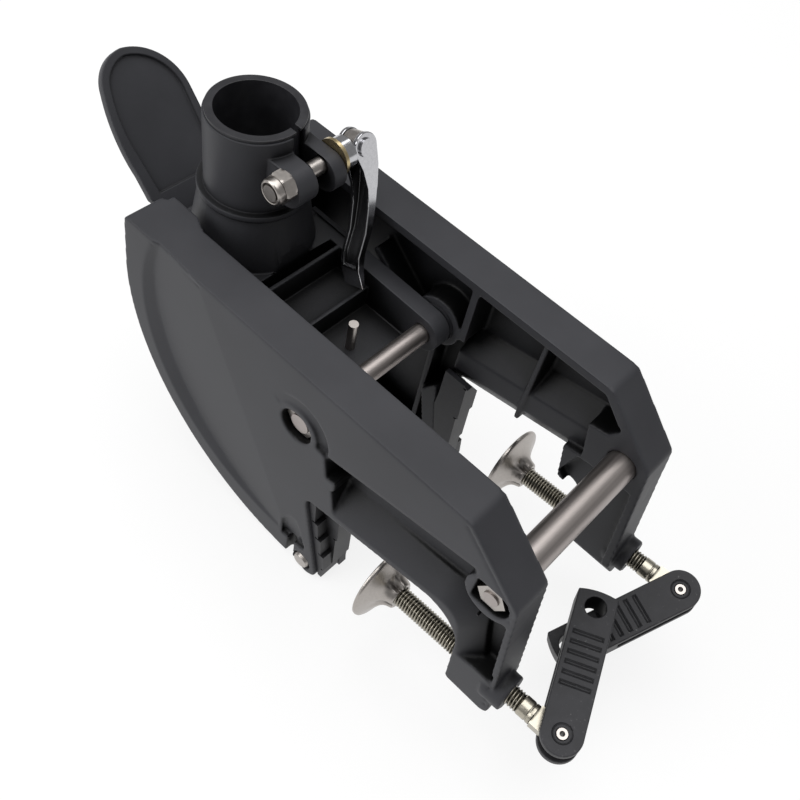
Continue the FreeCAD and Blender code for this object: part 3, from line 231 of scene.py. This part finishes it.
@dataclass(frozen=True)
class PowderCoat:
    """Satin black powder coat with a fine orange-peel grain, and painted shade that darkens its hollows
    almost to black.
    """

    name: str = "Satin black powder coat"
    dark: tuple = (0.034, 0.0345, 0.039, 1.0)
    light: tuple = (0.044, 0.0445, 0.050, 1.0)
    roughness: float = 0.50
    uneven: float = 0.06
    specular: float = 0.22
    patches: float = 28.0
    grain: float = 2600.0
    relief: float = 0.18
    depth: float = 0.00006
    # Painted shade: share of the colour left in the deepest hollows, and how far the occlusion reaches.
    hollow_shade: float = 0.03
    reach: float = 0.030

    def material(self) -> bpy.types.Material:
        """Builds the material."""
        graph = Graph(self.name)
        patch = graph.noise(self.patches, 4.0)
        tint = graph.ramp(patch.outputs["Fac"], ((0.35, self.dark), (0.68, self.light)))
        # The tint gets painted shade in the hollows before it becomes the base colour.
        graph.join(graph.shaded(tint, self.reach, self.hollow_shade), graph.shader.inputs["Base Color"])
        graph.shader.inputs["Specular IOR Level"].default_value = self.specular
        grain = graph.noise(self.grain, 2.0)
        rough = graph.spread(
            patch.outputs["Fac"], self.roughness - self.uneven, self.roughness + self.uneven)
        graph.join(rough, graph.shader.inputs["Roughness"])
        graph.bump(grain.outputs["Fac"], self.relief, self.depth)
        return graph.material


@dataclass(frozen=True)
class MouldedPlastic:
    """Black moulded plastic with a fine grain, pale dust that has settled in it, and painted shade in its
    hollows.
    """

    name: str = "Black moulded plastic"
    dark: tuple = (0.020, 0.020, 0.023, 1.0)
    light: tuple = (0.030, 0.030, 0.034, 1.0)
    roughness: float = 0.50
    specular: float = 0.3
    patches: float = 160.0
    grain: float = 3500.0
    relief: float = 0.2
    depth: float = 0.00004
    # Painted shade: share of the colour left in the deepest hollows, and how far the occlusion reaches.
    hollow_shade: float = 0.25
    reach: float = 0.008
    dust: float = 0.0
    dust_specks: float = 900.0
    dust_tone: float = 0.22

    def material(self) -> bpy.types.Material:
        """Builds the material."""
        graph = Graph(self.name)
        patch = graph.noise(self.patches, 6.0)
        tint = graph.ramp(patch.outputs["Fac"], ((0.4, self.dark), (0.7, self.light)))
        if self.dust > 0.0:
            specks = graph.noise(self.dust_specks, 4.0)
            amount = graph.ramp(specks.outputs["Fac"], ((0.66, grey(0.0)), (0.80, grey(self.dust))))
            mix = graph.add("ShaderNodeMix", data_type="RGBA")
            graph.join(amount, mix.inputs[0])
            graph.join(tint, mix.inputs[6])
            mix.inputs[7].default_value = grey(self.dust_tone)
            tint = mix.outputs[2]
        # The tint, with its dust, gets painted shade in the hollows before it becomes the base colour.
        graph.join(graph.shaded(tint, self.reach, self.hollow_shade), graph.shader.inputs["Base Color"])
        graph.shader.inputs["Specular IOR Level"].default_value = self.specular
        rough = graph.spread(patch.outputs["Fac"], self.roughness - 0.05, self.roughness + 0.08)
        graph.join(rough, graph.shader.inputs["Roughness"])
        grain = graph.noise(self.grain, 2.0)
        graph.bump(grain.outputs["Fac"], self.relief, self.depth)
        return graph.material


@dataclass(frozen=True)
class Metal:
    """Bare metal with a fine brushed grain and painted shade in its hollows."""

    name: str
    color: tuple
    roughness: float = 0.3
    stretch: tuple = (1.0, 1.0, 1.0)
    grain: float = 900.0
    dull: float = 0.88
    relief: float = 0.1
    depth: float = 0.00003
    # Painted shade: share of the colour left in the deepest hollows, and how far the occlusion reaches.
    hollow_shade: float = 0.45
    reach: float = 0.004

    def material(self) -> bpy.types.Material:
        """Builds the material."""
        graph = Graph(self.name)
        noise = graph.noise(self.grain, 3.0, self.stretch)
        low = tuple(self.dull * part for part in self.color[:3]) + (1.0,)
        tint = graph.ramp(noise.outputs["Fac"], ((0.3, low), (0.7, self.color)))
        # The tint gets painted shade in the hollows before it becomes the base colour.
        graph.join(graph.shaded(tint, self.reach, self.hollow_shade), graph.shader.inputs["Base Color"])
        graph.shader.inputs["Metallic"].default_value = 1.0
        rough = graph.spread(noise.outputs["Fac"], self.roughness * 0.75, self.roughness * 1.3)
        graph.join(rough, graph.shader.inputs["Roughness"])
        graph.bump(noise.outputs["Fac"], self.relief, self.depth)
        return graph.material


@dataclass
class Finishes:
    """The finishes of the bracket, one material for each."""

    coat: bpy.types.Material = field(default_factory=lambda: PowderCoat().material())
    plastic: bpy.types.Material = field(default_factory=lambda: MouldedPlastic(
        "Black grained plastic", dust=0.5).material())
    pad: bpy.types.Material = field(default_factory=lambda: MouldedPlastic(
        "Black jaw pad plastic", roughness=0.46).material())
    nylon: bpy.types.Material = field(default_factory=lambda: MouldedPlastic(
        "Black nylon", roughness=0.36).material())
    # Painted shade darkens the hollows of every metal below; the bar gets only a little of it.
    bar: bpy.types.Material = field(default_factory=lambda: Metal(
        "Drawn stainless bar", (0.40, 0.362, 0.345, 1.0), 0.40, (1.0, 0.03, 1.0), hollow_shade=0.8).material())
    steel: bpy.types.Material = field(default_factory=lambda: Metal(
        "Stainless steel", (0.44, 0.41, 0.385, 1.0), 0.32).material())
    # Deep painted shade in the roots of the thread.
    screw: bpy.types.Material = field(default_factory=lambda: Metal(
        "Yellowish zinc plate", (0.46, 0.43, 0.36, 1.0), 0.30, hollow_shade=0.06, reach=0.0009).material())
    brass: bpy.types.Material = field(default_factory=lambda: Metal(
        "Turned brass", (0.58, 0.47, 0.27, 1.0), 0.28).material())
    # Strong painted shade in the chrome's hollows stands in for the dark reflections inside the cam lever's
    # channel.
    chrome: bpy.types.Material = field(default_factory=lambda: Metal(
        "Chrome plate", (0.55, 0.55, 0.57, 1.0), 0.16, relief=0.02, hollow_shade=0.10, reach=0.009).material())

    def dress(self, nodes: dict) -> None:
        """Gives each piece of the frame its finish.

        Args:
            nodes: the frame's pieces by name.
        """
        groups = {
            self.coat: ("starboard_plate", "port_plate", "tilt_head", "tilt_lever"),
            self.pad: ("starboard_jaw_pad", "port_jaw_pad"),
            self.plastic: ("starboard_handle", "port_handle"),
            self.nylon: ("collar_bush", "pivot_washers"),
            self.bar: ("crossbar", "pivot_bolt"),
            self.screw: ("starboard_clamp_screw", "port_clamp_screw"),
            self.brass: ("clamp_washer",),
            self.chrome: ("cam_lever", "cam_pin", "cam_saddle"),
        }
        dressed = {}
        for material, names in groups.items():
            for name in names:
                dressed[name] = material
        for name, piece in nodes.items():
            piece.data.materials.clear()
            piece.data.materials.append(dressed.get(name, self.steel))
            LOG.info("dressed %s", name)


def welded(name: str, flatten: bool = True) -> bmesh.types.BMesh:
    """A copy of one of the frame's pieces with its loose facets joined.

    Args:
        name: the piece.
        flatten: joins the facets of each flat face into one.

    Returns:
        The joined mesh.
    """
    mesh = bmesh.new()
    mesh.from_mesh(frame["nodes"][name].data)
    bmesh.ops.remove_doubles(mesh, verts=mesh.verts, dist=WELD)
    if flatten:
        bmesh.ops.dissolve_limit(
            mesh, angle_limit=FLAT, verts=mesh.verts, edges=mesh.edges)
    return mesh


def soften(mesh: bmesh.types.BMesh, width: float, angle: float = 28.0, segments: int = 2) -> None:
    """Rounds the sharp edges of a mesh.

    Args:
        mesh: the mesh.
        width: width of the round in metres.
        angle: edges that turn by more degrees than this are rounded.
        segments: facets across the round.
    """
    limit = math.radians(angle)
    sharp = [
        edge for edge in mesh.edges
        if len(edge.link_faces) == 2 and edge.calc_face_angle() > limit
    ]
    bmesh.ops.bevel(
        mesh, geom=sharp, offset=width, offset_type="OFFSET", segments=segments,
        profile=0.5, affect="EDGES", clamp_overlap=False, loop_slide=True)


def show(name: str, mesh: bmesh.types.BMesh, material: bpy.types.Material, body: str,
         replaces: tuple = (), crease: float = 32.0) -> bpy.types.Object:
    """Turns a mesh into a finished piece.

    Args:
        name: the piece's name.
        mesh: its shape, freed afterwards.
        material: its finish.
        body: the moving body that carries it.
        replaces: pieces of the frame that it stands for.
        crease: edges that turn by more degrees than this stay sharp.

    Returns:
        The piece.
    """
    data = bpy.data.meshes.new(name)
    mesh.to_mesh(data)
    mesh.free()
    data.polygons.foreach_set("use_smooth", [True] * len(data.polygons))
    data.set_sharp_from_angle(angle=math.radians(crease))
    data.materials.append(material)
    item = bpy.data.objects.new(name, data)
    bpy.context.scene.collection.objects.link(item)
    even = item.modifiers.new("Even shading", "WEIGHTED_NORMAL")
    even.keep_sharp = True
    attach(item, body)
    if replaces:
        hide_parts(*replaces)
    LOG.info("%s: %d faces on %s", name, len(data.polygons), body)
    return item


def lathe(profile: list, sides: int,
          flute: Optional[Callable[[float, float], float]] = None) -> bmesh.types.BMesh:
    """Turns a profile about the X axis.

    Args:
        profile: pairs of the place along the axis and the radius, in millimetres.
        sides: facets around the axis.
        flute: gives a factor of the radius from the place along the axis and the angle.

    Returns:
        The turned mesh in metres, closed where the profile meets the axis.
    """
    mesh = bmesh.new()
    rings = []
    for along, radius in profile:
        if radius <= 0.0:
            rings.append([mesh.verts.new((along * MM, 0.0, 0.0))])
            continue
        ring = []
        for step in range(sides):
            angle = 2.0 * math.pi * step / sides
            wide = radius * MM * (flute(along, angle) if flute else 1.0)
            ring.append(mesh.verts.new((along * MM, wide * math.cos(angle), wide * math.sin(angle))))
        rings.append(ring)
    for low, high in zip(rings, rings[1:]):
        for step in range(sides):
            follow = (step + 1) % sides
            corners = [low[step % len(low)], high[step % len(high)],
                       high[follow % len(high)], low[follow % len(low)]]
            corners = list(dict.fromkeys(corners))
            if len(corners) > 2:
                mesh.faces.new(corners)
    bmesh.ops.recalc_face_normals(mesh, faces=mesh.faces)
    return mesh


class ThreadTree:
    """Geometry Nodes tree of a rolled screw thread along the X axis."""

    SIZES = (("Length", 0.06), ("Major", 0.004), ("Minor", 0.0034), ("Pitch", 0.00125))
    CREST = 1.25
    ENDS = 0.4999
    TURNS_BELOW = 100.0

    def __init__(self) -> None:
        """Builds the tree with its sizes as named inputs."""
        self.tree = bpy.data.node_groups.new("Rolled thread", "GeometryNodeTree")
        faces = self.tree.interface
        faces.new_socket(name="Geometry", in_out="INPUT", socket_type="NodeSocketGeometry")
        faces.new_socket(name="Geometry", in_out="OUTPUT", socket_type="NodeSocketGeometry")
        self.inputs = {}
        for name, size in self.SIZES:
            socket = faces.new_socket(name=name, in_out="INPUT", socket_type="NodeSocketFloat")
            socket.default_value = size
            self.inputs[name] = socket.identifier
        for name in ("Rows", "Sides"):
            socket = faces.new_socket(name=name, in_out="INPUT", socket_type="NodeSocketInt")
            self.inputs[name] = socket.identifier
        finish = faces.new_socket(name="Finish", in_out="INPUT", socket_type="NodeSocketMaterial")
        self.inputs["Finish"] = finish.identifier
        self.entry = self.tree.nodes.new("NodeGroupInput")
        self.build()

    def math(self, operation: str, first: object, second: object = 0.0) -> bpy.types.NodeSocket:
        """Adds a calculation with one or two values or sockets.

        Args:
            operation: the kind of calculation.
            first: the first value or socket.
            second: the second value or socket.

        Returns:
            The result's socket.
        """
        node = self.tree.nodes.new("ShaderNodeMath")
        node.operation = operation
        for index, value in enumerate((first, second)):
            if isinstance(value, (int, float)):
                node.inputs[index].default_value = value
            else:
                self.tree.links.new(value, node.inputs[index])
        return node.outputs[0]

    def build(self) -> None:
        """Wraps a grid round the axis and lifts it along a helix."""
        link = self.tree.links.new
        add = self.tree.nodes.new
        entry = self.entry.outputs
        grid = add("GeometryNodeMeshGrid")
        grid.inputs["Size X"].default_value = 1.0
        grid.inputs["Size Y"].default_value = 1.0
        link(self.math("ADD", entry["Sides"], 1.0), grid.inputs["Vertices X"])
        link(entry["Rows"], grid.inputs["Vertices Y"])
        place = add("GeometryNodeInputPosition")
        split = add("ShaderNodeSeparateXYZ")
        link(place.outputs["Position"], split.inputs[0])
        turn = self.math("ADD", split.outputs["X"], 0.5)
        along = self.math("MULTIPLY", self.math("ADD", split.outputs["Y"], 0.5), entry["Length"])
        angle = self.math("MULTIPLY", turn, 2.0 * math.pi)
        phase = self.math("FRACT", self.math(
            "ADD", self.math("SUBTRACT", self.math("DIVIDE", along, entry["Pitch"]), turn),
            self.TURNS_BELOW))
        ridge = self.math("ABSOLUTE", self.math("SUBTRACT", self.math("MULTIPLY", phase, 2.0), 1.0))
        height = self.math("MINIMUM", self.math("MULTIPLY", ridge, self.CREST), 1.0)
        depth = self.math("SUBTRACT", entry["Major"], entry["Minor"])
        radius = self.math("ADD", entry["Minor"], self.math("MULTIPLY", height, depth))
        inside = self.math("LESS_THAN", self.math("ABSOLUTE", split.outputs["Y"]), self.ENDS)
        radius = self.math("MULTIPLY", radius, inside)
        spot = add("ShaderNodeCombineXYZ")
        link(along, spot.inputs["X"])
        link(self.math("MULTIPLY", radius, self.math("COSINE", angle)), spot.inputs["Y"])
        link(self.math("MULTIPLY", radius, self.math("SINE", angle)), spot.inputs["Z"])
        wrap = add("GeometryNodeSetPosition")
        link(grid.outputs["Mesh"], wrap.inputs["Geometry"])
        link(spot.outputs[0], wrap.inputs["Position"])
        weld = add("GeometryNodeMergeByDistance")
        weld.inputs["Distance"].default_value = WELD
        link(wrap.outputs["Geometry"], weld.inputs["Geometry"])
        real = add("GeometryNodeRealizeInstances")
        link(weld.outputs["Geometry"], real.inputs["Geometry"])
        finish = add("GeometryNodeSetMaterial")
        link(real.outputs["Geometry"], finish.inputs["Geometry"])
        link(entry["Finish"], finish.inputs["Material"])
        leave = add("NodeGroupOutput")
        link(finish.outputs["Geometry"], leave.inputs[0])

    def mesh(self, material: bpy.types.Material, **sizes: float) -> bmesh.types.BMesh:
        """Evaluates the tree for one screw.

        Args:
            material: finish of the thread.
            sizes: the tree's inputs by name.

        Returns:
            The thread as a plain mesh, from the origin along X.
        """
        carrier = bpy.data.objects.new("Thread blank", bpy.data.meshes.new("Thread blank"))
        bpy.context.scene.collection.objects.link(carrier)
        modifier = carrier.modifiers.new("Thread", "NODES")
        modifier.node_group = self.tree
        for name, value in sizes.items():
            modifier[self.inputs[name]] = value
        modifier[self.inputs["Finish"]] = material
        graph = bpy.context.evaluated_depsgraph_get()
        plain = bpy.data.meshes.new_from_object(carrier.evaluated_get(graph), depsgraph=graph)
        carrier.modifiers.remove(modifier)
        bpy.data.objects.remove(carrier)
        thread = bmesh.new()
        thread.from_mesh(plain)
        bpy.data.meshes.remove(plain)
        bmesh.ops.recalc_face_normals(thread, faces=thread.faces)
        for face in thread.faces:
            face.material_index = 0
        return thread


def blend_in(target: bmesh.types.BMesh, part: bmesh.types.BMesh, spot: Matrix) -> None:
    """Adds a part's faces to a mesh.

    Args:
        target: the mesh that takes them.
        part: the part, freed afterwards.
        spot: where the part goes.
    """
    part.transform(spot)
    carrier = bpy.data.meshes.new("Part")
    part.to_mesh(carrier)
    part.free()
    target.from_mesh(carrier)
    bpy.data.meshes.remove(carrier)


def cast_skin(mesh: bmesh.types.BMesh, grain: float, passes: int, keep: float) -> bmesh.types.BMesh:
    """Melts the edges and corners of a shape as casting and coating do.

    Args:
        mesh: the sharp shape, freed afterwards.
        grain: size of the cells that the skin is drawn from, in metres.
        passes: how often the skin is smoothed.
        keep: share of the facets that is kept.

    Returns:
        The smooth shape.
    """
    data = bpy.data.meshes.new("Casting blank")
    mesh.to_mesh(data)
    mesh.free()
    blank = bpy.data.objects.new("Casting blank", data)
    bpy.context.scene.collection.objects.link(blank)
    cells = blank.modifiers.new("Cells", "REMESH")
    cells.mode = "VOXEL"
    cells.voxel_size = grain
    smooth = blank.modifiers.new("Smooth", "SMOOTH")
    smooth.factor = 0.5
    smooth.iterations = passes
    thin = blank.modifiers.new("Thin", "DECIMATE")
    thin.ratio = keep
    graph = bpy.context.evaluated_depsgraph_get()
    plain = bpy.data.meshes.new_from_object(blank.evaluated_get(graph), depsgraph=graph)
    bpy.data.objects.remove(blank)
    bpy.data.meshes.remove(data)
    skin = bmesh.new()
    skin.from_mesh(plain)
    bpy.data.meshes.remove(plain)
    return skin


@dataclass
class Castings:
    """The powder-coated castings with their edges rounded by the coat."""

    plate_grain: float = 0.0006
    plate_passes: int = 5
    plate_keep: float = 0.4
    plate_crease: float = 60.0
    edge_round: float = 0.0006
    rim_high: tuple = (171.9, -31.0)
    rim_low: tuple = (177.0, -70.0)
    rim_across: tuple = (-45.1, -35.0)
    rim_deep: float = 2.6

    def end_rim(self, blank: bmesh.types.BMesh) -> None:
        """Carries the rim of the side wall down the sloping end, behind the crossbar's nut.

        Args:
            blank: the starboard plate, to which the rim is added.
        """
        corners = []
        for x, z in (self.rim_high, self.rim_low):
            for y in self.rim_across:
                corners += [blank.verts.new(point(x - self.rim_deep, y, z)), blank.verts.new(point(x, y, z))]
        faces = ((0, 1, 3, 2), (4, 6, 7, 5), (0, 4, 5, 1), (2, 3, 7, 6), (0, 2, 6, 4), (1, 5, 7, 3))
        made = [blank.faces.new([corners[index] for index in face]) for face in faces]
        bmesh.ops.recalc_face_normals(blank, faces=made)

    def plates(self, finishes: Finishes) -> None:
        """Makes the starboard plate and its mirror image to port.

        Args:
            finishes: the bracket's finishes.
        """
        blank = welded("starboard_plate", flatten=False)
        self.end_rim(blank)
        skin = cast_skin(blank, self.plate_grain, self.plate_passes, self.plate_keep)
        mirrored = skin.copy()
        mirrored.transform(Matrix.Diagonal((1.0, -1.0, 1.0, 1.0)))
        bmesh.ops.reverse_faces(mirrored, faces=mirrored.faces)
        for side, mesh in ((Side.STARBOARD, skin), (Side.PORT, mirrored)):
            name = f"{side.word}_plate"
            show(f"{name}_casting", mesh, finishes.coat, "frame", (name,),
                 crease=self.plate_crease)

    def build(self, finishes: Finishes) -> None:
        """Makes the plates, the head and the tilt lever.

        Args:
            finishes: the bracket's finishes.
        """
        self.plates(finishes)
        for name, body in (("tilt_head", "head"), ("tilt_lever", "lever")):
            mesh = welded(name)
            soften(mesh, self.edge_round)
            show(f"{name}_casting", mesh, finishes.coat, body, (name,))


@dataclass
class ClampScrew:
    """One clamp screw: its threaded shank and its crimped foot, along its own X axis."""

    side: Side
    roll: float
    rise: float = 4.4
    origin: tuple = (100.0, 39.3, -89.9)
    tip: float = 23.0
    thread_end: float = 88.0
    shank_end: float = 94.3
    thread_r: float = 4.0
    core_r: float = 3.35
    pitch: float = 1.25
    rows_a_pitch: float = 8.0
    crimps: int = 4
    crimp_start: float = 22.9
    crimp_long: float = 4.5
    crimp_deep: float = 0.34
    crimp_power: int = 10
    bore_end: float = 29.7
    mouth: float = 29.9
    mouth_deep: float = 0.10
    foot_profile: tuple = (
        (22.8, 0.0), (22.8, 4.05), (29.7, 4.05), (30.0, 4.4), (30.0, 5.4), (29.6, 5.9), (28.6, 6.2),
        (27.6, 6.5), (26.6, 7.0), (25.6, 7.9), (24.6, 9.3), (23.7, 11.0), (22.9, 12.8), (22.3, 14.4),
        (21.8, 15.7), (21.4, 16.3), (20.9, 16.5), (20.3, 16.45), (20.0, 16.1), (20.0, 15.3),
        (20.5, 13.6), (21.1, 11.6), (21.3, 9.6), (21.3, 0.0))

    @property
    def spot(self) -> Matrix:
        """Placement of the screw's own frame."""
        x, y, z = self.origin
        rise = Matrix.Rotation(-math.radians(self.rise), 4, "Y")
        roll = Matrix.Rotation(math.radians(self.roll), 4, "X")
        return Matrix.Translation(point(x, self.side.value * y, z)) @ rise @ roll

    def shank(self, finishes: Finishes, threads: ThreadTree) -> None:
        """Makes the threaded rod with its round shank and flat tongue.

        Args:
            finishes: the bracket's finishes.
            threads: the tree that makes the thread.
        """
        word = self.side.word
        mesh = welded(f"{word}_clamp_screw")
        axis = self.spot.to_3x3() @ Vector((1.0, 0.0, 0.0))
        cut = self.spot @ Vector(((self.shank_end - 0.05) * MM, 0.0, 0.0))
        rest = bmesh.ops.bisect_plane(
            mesh, geom=mesh.verts[:] + mesh.edges[:] + mesh.faces[:],
            plane_co=cut, plane_no=axis, clear_inner=True)
        rim = [item for item in rest["geom_cut"] if isinstance(item, bmesh.types.BMEdge)]
        bmesh.ops.edgenet_fill(mesh, edges=rim)
        length = self.thread_end - self.tip
        thread = threads.mesh(
            finishes.screw, Length=length * MM, Major=self.thread_r * MM, Minor=self.core_r * MM,
            Pitch=self.pitch * MM, Rows=int(length / self.pitch * self.rows_a_pitch), Sides=28)
        blend_in(mesh, thread, self.spot @ Matrix.Translation((self.tip * MM, 0.0, 0.0)))
        end = self.shank_end
        plain = [
            (self.thread_end - 0.4, 0.0), (self.thread_end - 0.4, 3.4), (self.thread_end + 0.5, 4.0),
            (end - 2.4, 4.0), (end - 2.2, 3.75), (end - 1.7, 3.75), (end - 1.5, 4.0),
            (end - 0.3, 4.0), (end, 3.7), (end, 0.0)]
        blend_in(mesh, lathe(plain, 40), self.spot)
        show(f"{word}_screw_thread", mesh, finishes.screw, f"{word}_screw",
             (f"{word}_clamp_screw",), crease=40.0)

    def pinch(self, along: float, angle: float) -> float:
        """Share of the radius that the crimps leave. The bore's inner edge stays round.

        Args:
            along: place along the screw in millimetres.
            angle: angle around it.

        Returns:
            The factor of the radius.
        """
        if along == self.bore_end:
            return 1.0
        wave = abs(math.cos(0.5 * self.crimps * angle)) ** self.crimp_power
        if along > self.mouth:
            return 1.0 - self.mouth_deep * wave
        reach = min(max((along - self.crimp_start) / self.crimp_long, 0.0), 1.0)
        return 1.0 - self.crimp_deep * reach * wave

    def foot(self, finishes: Finishes) -> None:
        """Makes the dished foot, crimped round the screw's end.

        Args:
            finishes: the bracket's finishes.
        """
        word = self.side.word
        mesh = lathe(list(self.foot_profile), 96, self.pinch)
        mesh.transform(self.spot)
        show(f"{word}_foot_plate", mesh, finishes.steel, f"{word}_clamp",
             (f"{word}_foot",), crease=38.0)


@dataclass
class Handles:
    """The folding handles with their moulded edges."""

    edge: float = 0.0005
    angle: float = 40.0

    def build(self, finishes: Finishes) -> None:
        """Makes both handles.

        Args:
            finishes: the bracket's finishes.
        """
        for side in Side:
            mesh = welded(f"{side.word}_handle")
            soften(mesh, self.edge, angle=self.angle)
            show(f"{side.word}_grip_handle", mesh, finishes.plastic, f"{side.word}_grip",
                 (f"{side.word}_handle",))


@dataclass
class Clamp:
    """The collar's quick clamp: lock nut, cam lever and bush."""

    axis_x: float = 25.3
    axis_z: float = 24.6
    seat_y: float = -8.8
    hex_long: float = 4.8
    hex_r: float = 5.77
    nut_end: float = -16.5
    lip: float = 0.0003
    lever_angle: float = 40.0
    bush_angle: float = 50.0
    metal_crease: float = 24.0

    def nut(self, finishes: Finishes) -> None:
        """Makes the lock nut: a chamfered hexagon with a round collar.

        Args:
            finishes: the bracket's finishes.
        """
        across = self.hex_r * math.cos(math.pi / 6.0)

        def hexagon(along: float, angle: float) -> float:
            """Six flats with their corners turned off at both ends."""
            if not 0.0 <= along <= self.hex_long:
                return 1.0
            flat = across / math.cos((angle + math.pi / 6.0) % (math.pi / 3.0) - math.pi / 6.0)
            off = min(along, self.hex_long - along)
            return min(flat, across + 0.15 + 1.6 * off) / self.hex_r

        length = self.seat_y - self.nut_end
        profile = [(-0.001, 0.0), (0.0, self.hex_r)]
        profile += [(self.hex_long * share / 8.0, self.hex_r) for share in range(1, 9)]
        profile += [
            (self.hex_long + 0.01, 4.85), (length - 1.2, 4.85), (length - 0.5, 4.6), (length - 0.1, 4.2),
            (length, 3.9), (length - 0.1, 3.6), (length - 0.9, 3.35), (length - 0.9, 3.05)]
        profile.append((length - 0.9, 0.0))
        mesh = lathe(profile, 96, hexagon)
        turn = Matrix(((0.0, 0.0, 1.0), (-1.0, 0.0, 0.0), (0.0, -1.0, 0.0))).to_4x4()
        mesh.transform(Matrix.Translation(point(self.axis_x, self.seat_y, self.axis_z)) @ turn)
        bmesh.ops.recalc_face_normals(mesh, faces=mesh.faces)
        show("collar_lock_nut", mesh, finishes.steel, "head", ("clamp_nut",),
             crease=self.metal_crease)

    def lever(self, finishes: Finishes) -> None:
        """Makes the stamped cam lever with its edges rolled over.

        Args:
            finishes: the bracket's finishes.
        """
        mesh = welded("cam_lever")
        soften(mesh, self.lip, angle=self.lever_angle)
        show("cam_handle", mesh, finishes.chrome, "cam", ("cam_lever",),
             crease=self.metal_crease)

    def bush(self, finishes: Finishes) -> None:
        """Makes the flanged bush with its lip rounded.

        Args:
            finishes: the bracket's finishes.
        """
        mesh = welded("collar_bush")
        soften(mesh, self.lip, angle=self.bush_angle)
        show("bore_bush", mesh, finishes.nylon, "head", ("collar_bush",))

    def build(self, finishes: Finishes) -> None:
        """Makes the clamp's pieces.

        Args:
            finishes: the bracket's finishes.
        """
        self.nut(finishes)
        self.lever(finishes)
        self.bush(finishes)


@dataclass
class Studio:
    """Camera, lamps, floor and backdrop."""

    place: tuple = (0.190426, -0.176853, 0.235066)
    right: tuple = (0.7213, 0.675868, 0.151426)
    up: tuple = (-0.620929, 0.534128, 0.57372)
    back: tuple = (0.306878, -0.507848, 0.804932)
    lens: float = 41.52
    floor_z: float = -0.1251
    floor_half: float = 6.0
    floor_glow: float = 0.82
    floor_shade: float = 0.18
    fill: float = 0.30
    middle: tuple = (0.07, 0.0, -0.04)

    def camera(self) -> None:
        """Places the camera where the photograph was taken from."""
        data = bpy.data.cameras.new("Camera")
        data.lens = self.lens
        data.sensor_width = 36.0
        data.clip_start = 0.01
        data.clip_end = 50.0
        camera = bpy.data.objects.new("Camera", data)
        bpy.context.scene.collection.objects.link(camera)
        turn = Matrix((self.right, self.up, self.back)).transposed().to_4x4()
        camera.matrix_world = Matrix.Translation(self.place) @ turn
        bpy.context.scene.camera = camera

    def lamp(self, name: str, place: tuple, target: tuple, size: float, power: float) -> None:
        """Adds a square soft lamp.

        Args:
            name: the lamp's name.
            place: where it stands.
            target: the point that it faces.
            size: its side in metres.
            power: its power in watts.
        """
        data = bpy.data.lights.new(name, "AREA")
        data.size = size
        data.energy = power
        lamp = bpy.data.objects.new(name, data)
        lamp.location = place
        aim = Vector(target) - Vector(place)
        lamp.rotation_euler = aim.to_track_quat("-Z", "Y").to_euler()
        bpy.context.scene.collection.objects.link(lamp)

    def floor(self) -> None:
        """Lays the white floor that the object stands over."""
        mesh = bpy.data.meshes.new("Floor")
        half = self.floor_half
        corners = [(-half, -half), (half, -half), (half, half), (-half, half)]
        mesh.from_pydata([(x, y, self.floor_z) for x, y in corners], [], [(0, 1, 2, 3)])
        floor = bpy.data.objects.new("Floor", mesh)
        bpy.context.scene.collection.objects.link(floor)
        graph = Graph("White floor")
        graph.shader.inputs["Base Color"].default_value = grey(0.8)
        graph.shader.inputs["Roughness"].default_value = 0.9
        paths = graph.add("ShaderNodeLightPath")
        either = graph.add("ShaderNodeMath", operation="MAXIMUM")
        graph.join(paths.outputs["Is Camera Ray"], either.inputs[0])
        graph.join(paths.outputs["Is Glossy Ray"], either.inputs[1])
        seen = graph.add("ShaderNodeMath", operation="MAXIMUM")
        graph.join(either.outputs["Value"], seen.inputs[0])
        graph.join(paths.outputs["Is Transmission Ray"], seen.inputs[1])
        glow = graph.add("ShaderNodeEmission", Color=grey(1.0), Strength=self.floor_glow)
        mix = graph.add("ShaderNodeMixShader")
        both = graph.add("ShaderNodeAddShader")
        dim = graph.add("ShaderNodeBsdfDiffuse", Color=grey(self.floor_shade))
        graph.join(glow.outputs["Emission"], both.inputs[0])
        graph.join(dim.outputs["BSDF"], both.inputs[1])
        graph.join(seen.outputs["Value"], mix.inputs["Fac"])
        graph.join(graph.shader.outputs["BSDF"], mix.inputs[1])
        graph.join(both.outputs["Shader"], mix.inputs[2])
        output = graph.tree.nodes["Material Output"]
        graph.join(mix.outputs["Shader"], output.inputs["Surface"])
        mesh.materials.append(graph.material)

    def world(self) -> None:
        """Surrounds the scene with soft even light that the camera sees as white."""
        world = bpy.data.worlds.new("World")
        bpy.context.scene.world = world
        world.use_nodes = True
        tree = world.node_tree
        background = tree.nodes["Background"]
        background.inputs["Color"].default_value = grey(1.0)
        paths = tree.nodes.new("ShaderNodeLightPath")
        level = tree.nodes.new("ShaderNodeMapRange")
        level.inputs["To Min"].default_value = self.fill
        level.inputs["To Max"].default_value = 1.0
        tree.links.new(paths.outputs["Is Camera Ray"], level.inputs["Value"])
        tree.links.new(level.outputs["Result"], background.inputs["Strength"])

    def build(self) -> None:
        """Sets the whole stage."""
        self.camera()
        self.floor()
        self.world()
        self.lamp("Overhead", (-0.1, 0.1, 1.3), self.middle, size=1.4, power=17.0)
        self.lamp("Front left", (-0.7, -1.1, 0.7), self.middle, size=1.0, power=12.0)
        bpy.context.scene.view_settings.view_transform = "Standard"


ROLLS = {Side.STARBOARD: 7.5, Side.PORT: 197.5}


def main() -> None:
    """Builds the bracket's looks over the frame."""
    logging.basicConfig(level=logging.INFO, format="%(message)s")
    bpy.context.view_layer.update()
    finishes = Finishes()
    finishes.dress(frame["nodes"])
    Castings().build(finishes)
    threads = ThreadTree()
    for side, roll in ROLLS.items():
        screw = ClampScrew(side, roll)
        screw.shank(finishes, threads)
        screw.foot(finishes)
    Handles().build(finishes)
    Clamp().build(finishes)
    Studio().build()


if __name__ == "__main__":
    main()
